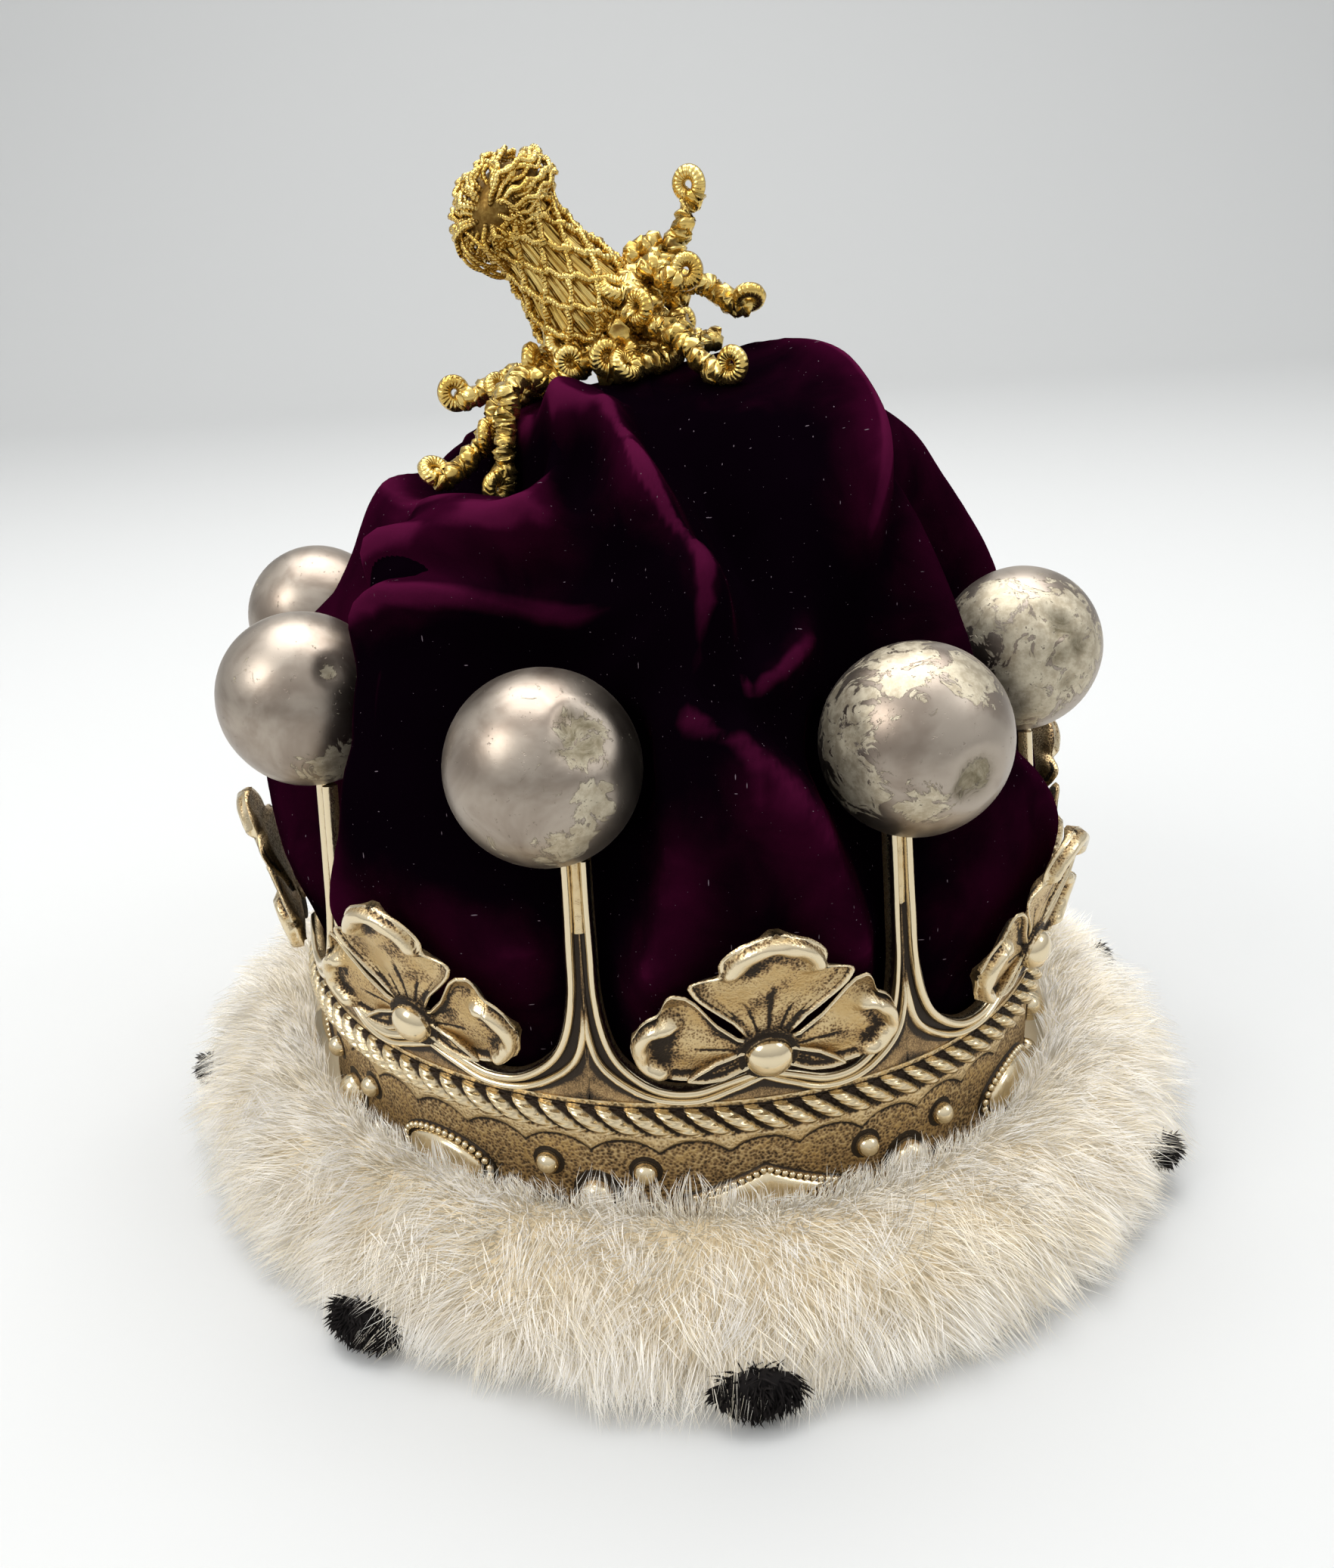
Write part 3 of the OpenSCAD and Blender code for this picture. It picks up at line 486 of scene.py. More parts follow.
def fur_finish(name, root, tip, shade, glow):
    """Hair: one colour at the root and another at the tip. The darker, yellower root colour is partly
    the hair's own tone and partly painted shade deep in the coat. Light that white hair passes on
    from strand to strand is stood in for by a little glow of its own colour."""
    p = Paint(name)
    along, tone = p.mark("along"), p.mark("tone")
    coat = p.node("ShaderNodeCombineXYZ", {}, {i: p.mark(m) for i, m in enumerate(OUT)})
    own = p.node("ShaderNodeNewGeometry", {}, {}, "Normal")
    between = p.node("ShaderNodeMix", {"data_type": "VECTOR"}, {0: 0.80, 4: own, 5: coat}, 1)
    faced = p.node("ShaderNodeVectorMath", {"operation": "NORMALIZE"}, {0: between})
    colour = p.mix(along.ramp(0.0, 0.75), root, tip)
    colour = p.mix((tone * 0.7 + p.noise(18.0) * 0.6).ramp(0.45, 1.0) * 0.7, colour, shade)
    return p.finish(Base_Color=colour, Roughness=0.8, Specular_IOR_Level=0.12, Normal=faced,
                    Emission_Color=colour, Emission_Strength=glow)


def thread_finish():
    """Gold thread wound fine and close: ridges across the cord by its length, tarnish between."""
    p = Paint("gold_thread")
    wound = (p.mark("along") * (2 * np.pi / 0.78) + p.mark("around") * 2 * np.pi).sin() * 0.5 + 0.5
    cloud, fine = p.noise(6.0, 3.0), p.noise(0.8, 3.0, 0.6)
    hollow = p.mark("hollow")
    gold = p.mix(cloud.ramp(0.3, 0.7), (0.61, 0.39, 0.085), (0.83, 0.62, 0.215))
    dark = ((1 - wound) * 0.5 + hollow * 0.8 + (fine - 0.5) * 0.6).ramp(0.45, 1.18)
    colour = p.mix(dark, gold, (0.16, 0.085, 0.018))
    relief = p.bump(wound, 0.14, 0.8)
    return p.finish(Base_Color=colour, Metallic=0.95, Normal=relief, Roughness=0.22 + 0.3 * dark)


GILT = gilt_finish("silver_gilt_matted", 0.75, 0.26, 1.0)
GILT_SATIN = gilt_finish("silver_gilt_satin", 0.35, 0.04, 0.4)
GILT_LEAF = gilt_finish("silver_gilt_leaf", 0.55, 0.13, 1.0)
SILVER = silver_finish()
CRIMSON = velvet_finish()
# White fur: its root colour is partly painted shade deep in the coat, and its glow is painted light.
WHITE_FUR = fur_finish("white_fur", (0.87, 0.72, 0.48), (0.98, 0.95, 0.88), (0.90, 0.77, 0.54), 0.25)
DARK_FUR = fur_finish("dark_tail", (0.006, 0.005, 0.005), (0.016, 0.013, 0.012), (0.009, 0.007, 0.007), 0.0)
GOLD_THREAD = thread_finish()


# ---- Circlet ----
def even_ray(k):
    """Turn of ray k in an even ring; ray_turn is its true one."""
    return FIRST_RAY + STEP * k


def ray_turn(k):
    """True turn of ray k."""
    return even_ray(k) + PLACES[k % COUNT][0]


def leaf_turn(k):
    """Turn of the leaf between ray k and the next."""
    return even_ray(k) + STEP / 2


def ball_centre(k):
    """Middle of ball k."""
    p = PLACES[k % COUNT]
    return at(even_ray(k) + p[1], BALL_RING + p[2], BALL_Z + p[3])


def ray_r(z):
    """Radius of the rays' face, which leans in above the band."""
    return BAND_R - RAY_LEAN * np.maximum(0, z - BAND_TOP)


def ray_top(k):
    """Height of a ray's top, a small gap under its ball."""
    return ball_centre(k)[2] - BALL_R - GAP


SCALLOPS, ROPE_STRANDS = 40, 96


def scallop_edge(turn):
    """Lower edge of the bright strip: shallow arches between points that hang down."""
    f = ((turn - FIRST_RAY) / 360 * SCALLOPS) % 1
    return 32.9 + 3.1 * (1 - np.abs(2 * f - 1) ** 2.3)


def ringed(place, rings):
    """A skin over rings whose third and fourth numbers are hollow and shine."""
    return shell(place, hollow=rings[:, 2:3], shine=rings[:, 3:4])


def circlet_band():
    """The band as rings of radius and height: rim, chased ground, scalloped strip, top."""
    turn = FIRST_RAY + 180 + turns(768)
    edge = scallop_edge(turn)
    # radius off the band, height, hollow, shine
    rings = [
        (-WALL, RIM_Z, 0.5, 0), (-WALL + 0.4, RIM_Z - 0.2, 0.3, 0), (0.1, RIM_Z - 0.2, 0.2, 0.3),
        (0.5, RIM_Z + 0.4, 0.1, 0.5), (0.5, RIM_Z + 1.6, 0.2, 0.5), (0.0, RIM_Z + 2.2, 0.9, 0),
        (0.0, 14, 0.62, 0), (0.0, 20, 0.60, 0), (0.0, 26, 0.60, 0),
        (0.0, edge - 2.4, 0.52, 0), (0.0, edge - 0.8, 0.62, 0), (-0.12, edge - 0.25, 1.0, 0),
        (0.05, edge, 1.0, 0.1), (0.35, edge + 0.25, 0.2, 0.7), (0.45, edge + 0.9, 0.30, 0.35),
        (0.45, 37.1, 0.40, 0.35), (0.2, 37.8, 0.9, 0.2), (0.1, 39, 1.0, 0),
        (0.1, 44.6, 1.0, 0), (0.35, 45.1, 0.4, 0.3), (0.35, BAND_TOP, 0.2, 0.4),
        (-WALL, BAND_TOP, 0.4, 0), (-WALL, 30, 0.5, 0)]
    skin = np.stack([at(turn, BAND_R + r, z) for r, z, _, _ in rings], 1)
    dark, bright = (np.array([r[i] for r in rings])[None, :] for i in (2, 3))
    return shell(skin, True, hollow=dark, shine=bright)


def circlet_rope():
    """A half-round moulding of slanting strands: the radius off the band is
    proud cos(v)^0.8 (0.3 + 0.7 root(1 - (w / n)^2)), where w runs from -1 to 1 across a strand's
    place, n is the strand's share of it, less towards its ends, and the strands move about 1.2
    places along from the top of the rope to the foot."""
    turn = FIRST_RAY + 180 + turns(ROPE_STRANDS * 12)[:, None]
    v = np.linspace(-90, 90, 17)[None, :]
    phase = turn / 360 * ROPE_STRANDS + 0.62 * np.sin(v * DEG)
    w = 2 * (phase % 1) - 1
    narrow = 0.80 - 0.26 * np.sin(v * DEG) ** 2
    h = np.sqrt(np.maximum(0, 1 - (w / narrow) ** 2))
    over = 0.30 + (ROPE_PROUD + 0.5) * np.cos(v * DEG) ** 0.8 * (0.30 + 0.70 * h)
    z = ROPE_Z + (ROPE_HALF * (0.9 + 0.1 * h)) * np.sin(v * DEG)
    front = at(turn + 0 * v, BAND_R + over - 0.4, z)
    back = at(turn + np.zeros((1, 2)), BAND_R - 0.8, ROPE_Z + np.array([[2.6, -2.6]]))
    pad = np.zeros((len(turn), 2))
    skin = np.concatenate([front, back], 1)
    # fine threads run across each strand
    thread = v / 180 * 6.5 + w * 0.35 + 0 * turn
    return shell(skin, True, hollow=np.concatenate([ease(0.62, 0.0, h) * 1.2, pad + 1], 1),
                 shine=np.concatenate([0.55 + 0 * h, pad], 1),
                 thread=np.concatenate([thread, pad], 1))


def across(points):
    """Unit directions square to a path in the plane, towards its lower side."""
    way = unit(np.gradient(points, axis=0))
    return np.stack([way[:, 1], -way[:, 0]], -1)


MM_TURN = BAND_R * DEG
# Distance across a fillet from its crest, height off the wall, hollow, shine
UPPER_FILLET = [
    [-1.25, -1.7, 0.6, 0], [-1.25, 0.3, 0.3, 0.5], [-1.0, 0.95, 0, 1], [-0.6, 1.45, 0, 1],
    [0, 1.6, 0, 1], [0.55, 1.3, 0, 1], [0.85, 0.75, 0.2, 0.8], [1.0, 0.0, 1.1, 0]]
LOWER_FILLET = [
    [-0.95, -0.1, 1.1, 0], [-0.8, 0.55, 0.3, 0.6], [-0.45, 1.1, 0, 1], [0, 1.25, 0, 1],
    [0.45, 1.0, 0, 1], [0.8, 0.45, 0.5, 0.5], [1.1, 0.05, 1.0, 0]]


def arcade_half(k, side, n=62):
    """Sections from the top of a ray to the middle of the bay. Side is -1 for the ray on the left
    and 1 for the one on the right. A section crosses the upper fillet, the groove, the lower
    fillet and the plate down to its foot, and each of its points is a place in the plane, how far
    it stands off the wall, its hollow and its shine."""
    ray = k if side < 0 else k + 1
    rows = np.array(ARCADE, float)
    rows[:, [1, 3]] = np.minimum(rows[:, [1, 3]], ray_top(ray))
    c = spline(rows, n)
    level = np.clip(c[:, 4], 0, 1)
    raised, flat = level[:, None], 0 * level
    upper, lower = (np.stack([c[:, i] * MM_TURN, c[:, i + 1]], -1) for i in (0, 2))
    off_upper, off_lower = -across(upper), -across(lower)
    off_upper[-1] = off_lower[-1] = [0, -1]
    spots = [(upper + w * off_upper, h + flat, dark, bright) for w, h, dark, bright in UPPER_FILLET]
    edge, start = upper + off_upper, lower - 0.95 * raised * off_lower
    spots += [(mixed(edge, start, share), -0.1 + flat, 1.15, 0) for share in (0.35, 0.7)]
    spots += [(lower + w * raised * off_lower, mixed(-0.1, h, level), dark, bright)
              for w, h, dark, bright in LOWER_FILLET]
    foot_turn = mixed(STEP / 2 + 0.12, c[:, 2], ease(61, 57, c[:, 3])) * MM_TURN
    foot = np.stack([foot_turn, mixed(c[:, 3], BAND_TOP - 1, ease(66, 58, c[:, 3]))], -1)
    last = spots[-1][0]
    spots += [(mixed(last, foot, share), 0.1 + flat, dark, 0.15)
              for share, dark in ((0.15, 0.95), (0.35, 0.62), (0.7, 0.55), (1.0, 0.85))]
    spots.append((foot, -1.7 + flat, 0.6, 0))
    plane, out, dark, gloss = zip(*spots)
    plane, out = np.stack(plane, 1), np.stack(out, 1)
    dark, gloss = (np.array(v)[None, :] + 0 * out for v in (dark, gloss))
    # the lower fillet is dark where it isn't raised
    low = slice(len(UPPER_FILLET) + 2, len(UPPER_FILLET) + 2 + len(LOWER_FILLET))
    dark[:, low], gloss[:, low] = mixed(1.1, dark[:, low], raised), mixed(0, gloss[:, low], raised)
    share = side * (ray_turn(ray) - leaf_turn(k)) / (STEP / 2)
    turn = leaf_turn(k) + side * share * plane[..., 0] / MM_TURN
    return at(turn, ray_r(plane[..., 1]) + out, plane[..., 1]), dark, gloss


def arcade_bay(k):
    """Both halves of a bay as one skin, from the top of one ray to the top of the next."""
    left, right = arcade_half(k, -1), arcade_half(k, 1)
    skin, dark, gloss = (np.concatenate([a, b[-2::-1]]) for a, b in zip(left, right))
    return shell(skin, hollow=dark, shine=gloss)


def ray_fill(k):
    """The rough gold solder between the two fillets at the top of a ray."""
    z = np.linspace(ray_top(k) - 15.5, ray_top(k), 18)[:, None]
    w = np.array([-1.25, -0.9, -0.4, 0.1, 0.6, 1.25, 0.9, -0.9])[None, :]
    h = np.array([0.1, 0.65, 0.8, 0.75, 0.7, 0.1, -0.6, -0.6])[None, :]
    skin = at(ray_turn(k) + w / MM_TURN, ray_r(z) + h, z + 0 * w)
    skin = skin + unit(skin * [1, 1, 0]) * (0.18 * ripple(skin, 2.2, 40 + k))[..., None]
    return shell(skin, hollow=0.25, shine=0.35)


def on_band(turn, x, y, out, z=JEWEL_Z):
    """A place on the band in millimetres along, up and out from its middle."""
    return at(turn + x / MM_TURN, BAND_R + out, z + y)


def stud(turn, z, r, sides=18):
    """A round bead in a sunk ring: rings of radius and height, then a quarter circle."""
    a = np.linspace(0, 88, 7) * DEG
    rings = [(1.45, -0.6, 0.9, 0), (1.4, 0.05, 1, 0), (1.12, 0.0, 1.2, 0), (1.0, 0.1, 0.8, 0.4)]
    rings += [(np.cos(t), 0.25 + 0.98 * np.sin(t), 0, 1) for t in a]
    g, b = np.array(rings), turns(sides) * DEG
    rho = g[:, :1] * r
    lift = np.where(g[:, 1:2] > 0.2, g[:, 1:2] * r, g[:, 1:2])
    return ringed(on_band(turn, rho * np.cos(b), rho * np.sin(b), lift + 0 * b, z), g)


def small_bead(centre, r, way):
    """A ball of few faces whose pole points outwards."""
    t = np.linspace(-80, 80, 6)[:, None] * DEG
    b = turns(8)[None, :] * DEG
    side = unit(np.cross(way, [0, 0, 1.0]))
    over = np.cross(side, way)
    s = (np.cos(t) * np.cos(b))[..., None] * side + (np.cos(t) * np.sin(b))[..., None] * over
    return shell(centre + r * (s + (np.sin(t) + 0 * b)[..., None] * way),
                 hollow=ease(0.2, -0.6, np.sin(t)) + 0 * b, shine=1.0)


def bead_row(turn, outline, out, r, gap):
    """Beads set a gap apart along an outline on the band."""
    loop = np.concatenate([outline, outline[:1]])
    run = run_of(loop)
    count = int(round(run[-1] / gap))
    s = (np.arange(count) + 0.5) / count * run[-1]
    x, y = np.interp(s, run, loop[:, 0]), np.interp(s, run, loop[:, 1])
    spots = on_band(turn, x, y, out)
    return [small_bead(p, r, unit(p * [1, 1, 0])) for p in spots]


def jewel(k, outline, rings, row, out, r, gap):
    """Rings of one outline, by share of it and height, and a row of beads on a smaller outline."""
    turn, g = leaf_turn(k), np.array(rings)
    skin = on_band(turn, g[:, :1] * outline[None, :, 0], g[:, :1] * outline[None, :, 1], g[:, 1:2])
    return [ringed(skin, g)] + bead_row(turn, outline * row, out, r, gap)


def cabochon(k):
    """An oval with a rim, a bead row and a polished top, a quarter circle in section."""
    b = turns(48) * DEG
    oval = np.stack([14 * np.cos(b), 7 * np.sin(b)], -1)
    rings = [(1.03, -0.6, 1, 0), (1.02, 0.5, 0.9, 0), (0.97, 0.75, 0.8, 0.2), (0.86, 0.6, 1.1, 0),
             (0.80, 0.7, 1.1, 0), (0.78, 1.6, 0.2, 0.9)]
    rings += [(0.78 * np.cos(t), 1.6 + 2.4 * np.sin(t), 0, 1) for t in np.linspace(12, 87, 7) * DEG]
    return jewel(k, oval, rings, [0.93, 0.90], 0.95, 0.95, 1.95)


def lozenge(k):
    """A rhomb with hollowed sides, a beaded edge and four polished slopes to a ridge. Its outline
    is where |x|^0.92 + |y|^0.92 = 1, stretched."""
    b = turns(64) * DEG
    x, y = np.cos(b), np.sin(b)
    r = 1 / (np.abs(x) ** 0.92 + np.abs(y) ** 0.92) ** (1 / 0.92)
    rhomb = np.stack([18 * r * x, 7.4 * r * y], -1)
    rings = [(1.04, -0.6, 1, 0), (1.02, 0.7, 0.8, 0.1), (0.97, 0.95, 0.5, 0.4), (0.85, 0.8, 1.1, 0),
             (0.79, 0.8, 1.1, 0), (0.77, 1.5, 0.1, 1), (0.5, 2.3, 0, 1), (0.25, 2.9, 0, 1),
             (0.04, 3.2, 0, 1)]
    return jewel(k, rhomb, rings, [0.92, 0.90], 1.05, 0.85, 1.8)


def circlet_jewels():
    """Five studs under each ray, and a lozenge or an oval under each leaf by turns."""
    parts = []
    for k in range(COUNT):
        parts.append(stud(ray_turn(k), JEWEL_Z, 4.1, 24))
        parts += [stud(ray_turn(k) + s, JEWEL_Z + t, 2.7) for s in (-6.5, 6.5) for t in (-6.6, 6.6)]
        parts += lozenge(k) if k % 2 == 0 else cabochon(k)
    return joined(parts)


# ---- Leaves ----
def petal(k, angle, length, left, right, tip, roll, seed, fine):
    """One lobe on a grid of v along it and w across it. The outline is the half width on each side
    at each v. Out of the leaf stand: a dished face, a thin raised rim at the edge, veins engraved
    along lines from the boss, and a roll round the tip, half a circle in section, whose middle
    line is a circle about the tip's own centre. A thin back closes it."""
    foot_rows, tip_rows, columns = (15, 27, 43) if fine else (9, 15, 23)
    v = np.concatenate([np.linspace(0, 0.60, foot_rows), np.linspace(0.63, 1, tip_rows)])[:, None]
    w = np.sin(np.linspace(-90, 90, columns) * DEG)[None, :]
    wide = np.where(w < 0, look(v, right), look(v, left))
    x, y = v * length + 0 * w, w * wide
    edge = (1 - np.abs(w)) * wide * 0.75
    middle, size = tip
    far = np.hypot(x - middle, y)
    spin = np.arctan2(y, x - middle)
    on_tip = ease(-0.25, 0.3, np.cos(spin))
    inner = 0.60 + 0.035 * np.sin(spin * 5 + seed) + 0.02 * np.sin(spin * 9 + 2 * seed)
    t = (far / size - (inner + 0.97) / 2) / ((0.97 - inner) / 2)
    lip = roll * np.sqrt(np.maximum(0, 1 - t * t)) * on_tip if roll else 0 * t
    bare = 1 - ease(0.1, 0.5, lip)
    rim = np.exp(-((edge - 0.36) / 0.30) ** 2) * bare * ease(0.12, 0.25, v)
    groove = np.exp(-((edge - 1.25) / 0.4) ** 2) * bare * ease(0.15, 0.3, v)
    line = np.arctan2(y, x + 1.5) / DEG
    thin = 0.8 + 1.0 * ease(0.5, 0.1, v)
    veins = sum(np.exp(-((line - c - 5 * np.sign(c) * v) / thin) ** 2) * ease(r + 0.14, r, v)
                for c, r in ((0, 0.46), (15, 0.34), (-15, 0.34), (30, 0.30), (-30, 0.30)))
    veins = veins * ease(0.08, 0.2, v)
    face = 1.1 + 1.5 * ease(0.1, 0.9, v) - 0.7 * ease(0.3, 3.0, edge) * ease(0.15, 0.4, v)
    face = face + 0.5 * np.cos(line * DEG * 6) * ease(0.15, 0.5, v) * ease(0.3, 2.0, edge)
    fall = 0.9 * ease(0.9, 1.02, far / size) * on_tip
    out = face + 0.75 * rim - 0.35 * groove - 0.30 * veins + lip - fall
    # Painted shadow: a dark band on the face just inside the roll round the tip.
    shade = np.exp(-((far / size - inner + 0.17) / 0.2) ** 2) * on_tip * (roll > 1) \
        * (far / size < inner + 0.02)

    def laid(x, y):
        """The lobe's own x and y turned into the leaf's."""
        c, s = np.cos(angle * DEG), np.sin(angle * DEG)
        return x * c - y * s, x * s + y * c
    px, py = laid(x, y)
    proud = np.clip(ease(0.3, 0.9, lip / max(roll, 1)) + 1.1 * rim, 0, 1)
    # Painted shade goes into the mark hollow with the dark of the engraved veins and groove: the face
    # darker near the slot edges (side) and in the band inside the roll (shade). The face is also darker
    # towards the boss.
    side = ease(3.0, 1.2, edge) * ease(0.3, 0.5, v)
    dark = 0.37 + 0.8 * veins + 0.55 * shade + 0.6 * groove + 0.5 * ease(0.28, 0.1, v) + 0.3 * side
    cloud = ripple(np.stack([px, py, 0 * px], -1), 9, int(seed * 6) + 1)
    dark = np.clip(dark + 0.25 * cloud, 0, 1.2) * (1 - proud)
    back_w = np.linspace(1, -1, 7)[None, 1:-1]
    back_wide = np.where(back_w < 0, look(v, right), look(v, left))
    qx, qy = laid(v * length + 0 * back_w, back_w * back_wide * 0.97)
    behind = np.maximum(0, (out.mean(1, keepdims=True) - 1.9)) * 0.7 + 0 * back_w
    return shell(
        on_leaf(k, np.concatenate([px, qx], 1), np.concatenate([py, qy], 1),
                np.concatenate([out, behind], 1)),
        hollow=np.concatenate([dark, 0.5 + 0 * qx], 1), shine=np.concatenate([proud, 0 * qx], 1))


def on_leaf(k, x, y, out):
    """Across the leaf, up it and out of it, leaning outwards from its foot."""
    lean = LEAF_LEAN * DEG
    return at(leaf_turn(k) + x / MM_TURN,
              BAND_R + FILLET + GAP - 0.4 + (y + 6) * np.sin(lean) + out * np.cos(lean),
              LEAF_Z + y * np.cos(lean) - out * np.sin(lean))


# Half widths of the lobes by share of their length
TOP_LOBE = [[0, 3.0], [0.12, 3.9], [0.19, 5.2], [0.3, 7.5], [0.42, 11.2], [0.5, 13.5], [0.57, 15.0],
            [0.63, 15.6], [0.665, 15.1], [0.685, 13.4], [0.70, 10.3], [0.73, 9.9], [0.79, 10.0],
            [0.84, 9.4], [0.89, 8.1], [0.94, 6.2], [0.98, 3.6], [1, 1.4]]
SIDE_UP = [[0, 2.4], [0.12, 2.9], [0.25, 3.7], [0.44, 7.5], [0.62, 13.0], [0.70, 14.3], [0.79, 14.2],
           [0.825, 13.0], [0.85, 8.8], [0.88, 8.0], [0.92, 7.0], [0.96, 5.2], [1, 1.4]]
SIDE_DOWN = [[0, 2.4], [0.22, 6.0], [0.43, 8.1], [0.6, 8.3], [0.8, 7.6], [0.9, 6.6], [0.96, 4.6], [1, 1.4]]
LEAFLET = [[0, 1.2], [0.3, 2.6], [0.6, 2.8], [0.85, 1.6], [1, 0.3]]


def leaf_boss(k):
    """A round boss in a sunk collar."""
    rings = [(6.6, 0.3, 0.9, 0), (6.4, 1.9, 0.8, 0), (5.6, 1.5, 1.1, 0), (4.9, 1.6, 1.2, 0),
             (4.7, 2.0, 0.6, 0.5)]
    rings += [(4.8 * np.cos(t), 2.2 + 3.6 * np.sin(t), 0, 1) for t in np.linspace(6, 87, 8) * DEG]
    g, b = np.array(rings), turns(28) * DEG
    return ringed(on_leaf(k, g[:, :1] * np.cos(b), g[:, :1] * np.sin(b), g[:, 1:2] + 0 * b), g)


def leaf(k):
    """Three lobes, two leaflets under the side ones, and the boss."""
    fine = k in (0, 1, 7)
    return joined([
        petal(k, 90, 31.4, TOP_LOBE, TOP_LOBE, (21.6, 9.9), 2.7, k + 0.5, fine),
        petal(k, 11, 27.2, SIDE_UP, SIDE_DOWN, (19.0, 8.2), 2.5, k + 2.0, fine),
        petal(k, 169, 27.2, SIDE_DOWN, SIDE_UP, (19.0, 8.2), 2.5, k + 4.0, fine),
        petal(k, -17, 17, LEAFLET, LEAFLET, (10, 9), 0, k + 1.0, False),
        petal(k, 197, 17, LEAFLET, LEAFLET, (10, 9), 0, k + 3.0, False),
        leaf_boss(k)])


# ---- Balls ----
# Dents: ball, place right of and above the middle of its outer side in radii, spread in degrees,
# depth
DENTS = [[1, 0.42, 0.25, 16, 1.5], [1, 0.30, 0.46, 8, 0.5], [1, 0.50, -0.38, 9, 0.5],
         [1, 0.16, 0.12, 6, 0.4], [2, 0.62, -0.36, 14, 1.7], [2, 0.45, -0.50, 6, 0.7],
         [2, -0.62, 0.05, 9, 0.5], [3, 0.50, 0.25, 10, 1.4], [3, 0.72, 0.05, 9, 1.2],
         [3, 0.45, -0.10, 8, 1.0], [3, 0.60, -0.38, 9, 0.9], [3, 0.30, 0.40, 7, 0.6],
         [3, -0.2, 0.1, 10, 0.4], [8, 0.30, 0.27, 9, 0.8], [5, 0.3, 0.2, 12, 0.8], [6, -0.3, 0, 10, 0.6]]
# Patches where the skin is torn off, the same way
FLAKES = [[1, 0.42, 0.24, 17], [1, 0.50, -0.36, 15], [1, 0.10, -0.80, 18], [1, 0.34, -0.62, 10],
          [2, -0.20, 0.76, 28], [2, 0.52, 0.66, 20], [2, -0.74, 0.20, 30], [2, -0.58, -0.46, 23],
          [2, 0.10, -0.64, 16], [2, 0.62, -0.36, 12], [3, 0.55, 0.10, 50], [3, 0.0, -0.6, 34],
          [3, -0.4, 0.5, 26], [8, 0.2, -0.80, 22], [8, 0.30, 0.27, 6], [4, 0, 0.3, 30],
          [5, 0, 0, 30], [6, 0.3, -0.2, 34], [7, -0.3, -0.4, 30]]


def seen_way(k, right, up):
    """A direction from the ball's middle: the places are counted across its front as seen from a
    little above, 320 mm in front of the coronet."""
    view = unit(np.array([0.0, -321.0, 201.0]) - ball_centre(k)) if abs(near(even_ray(k))) < 100 \
        else unit(ball_centre(k) * [1, 1, 0])
    side = unit(np.cross([0, 0, 1.0], view))
    return unit(view * np.sqrt(max(0.02, 1 - right**2 - up**2)) + side * right + np.cross(view, side) * up)


def far_from(way, k, right, up):
    """Degrees between each direction and a place on the front of ball k."""
    return np.arccos(np.clip(way @ seen_way(k, right, up), -1, 1)) / DEG


def ball(k):
    """A sphere with dents pressed in as depth exp(-(angle / spread)^2), each in a low raised ring."""
    # finer where the ball shows
    n = 72 if k in (0, 1, 2, 7) else 44
    rise = np.linspace(-88, 88, n // 2 + 9)[:, None]
    turn = turns(n)[None, :]
    way = way_at(turn, rise)
    r = BALL_R + 0.05 * ripple(way * BALL_R, 14, 60 + k)
    flake = dent = np.zeros_like(r)
    for b, right, up, spread, depth in DENTS:
        if b == k + 1:
            far = far_from(way, k, right, up) / spread
            dent = dent + depth * np.exp(-far**2)
            r = r - depth * np.exp(-far**2) + 0.22 * depth * np.exp(-((far - 1.45) / 0.35) ** 2)
    for b, right, up, spread in FLAKES:
        if b == k + 1:
            flake = np.maximum(flake, 0.78 * ease(1.5, 0.45, far_from(way, k, right, up) / spread))
    return shell(ball_centre(k) + way * r[..., None], flake=flake, dent=dent)


# ---- Velvet cap ----
def dome(turn, rise):
    """A superellipse in section, fuller on one side and higher on another, with a drawn-in foot
    that goes down 1.15 mm to a degree."""
    n = CAP_FULL - CAP_FULL_SIDE * np.cos((turn - CAP_SLACK_TURN) * DEG)
    e = np.maximum(0, rise)
    k = (np.cos(e * DEG) ** n + np.sin(e * DEG) ** n) ** (-1 / n)
    r = np.where(rise < 0, CAP_WIDE_R - look(rise, CAP_FOOT), CAP_WIDE_R * k * np.cos(e * DEG))
    tilt = CAP_TILT * np.cos((turn - CAP_TILT_TURN) * DEG)
    up = CAP_RISE * k * np.sin(e * DEG) + tilt * np.sin(2 * e * DEG)
    p = at(turn, r, CAP_WIDE_Z + np.where(rise < 0, 1.15 * rise, up))
    p[..., 0] += CAP_SHIFT * np.sin(e * DEG) ** 3
    return p


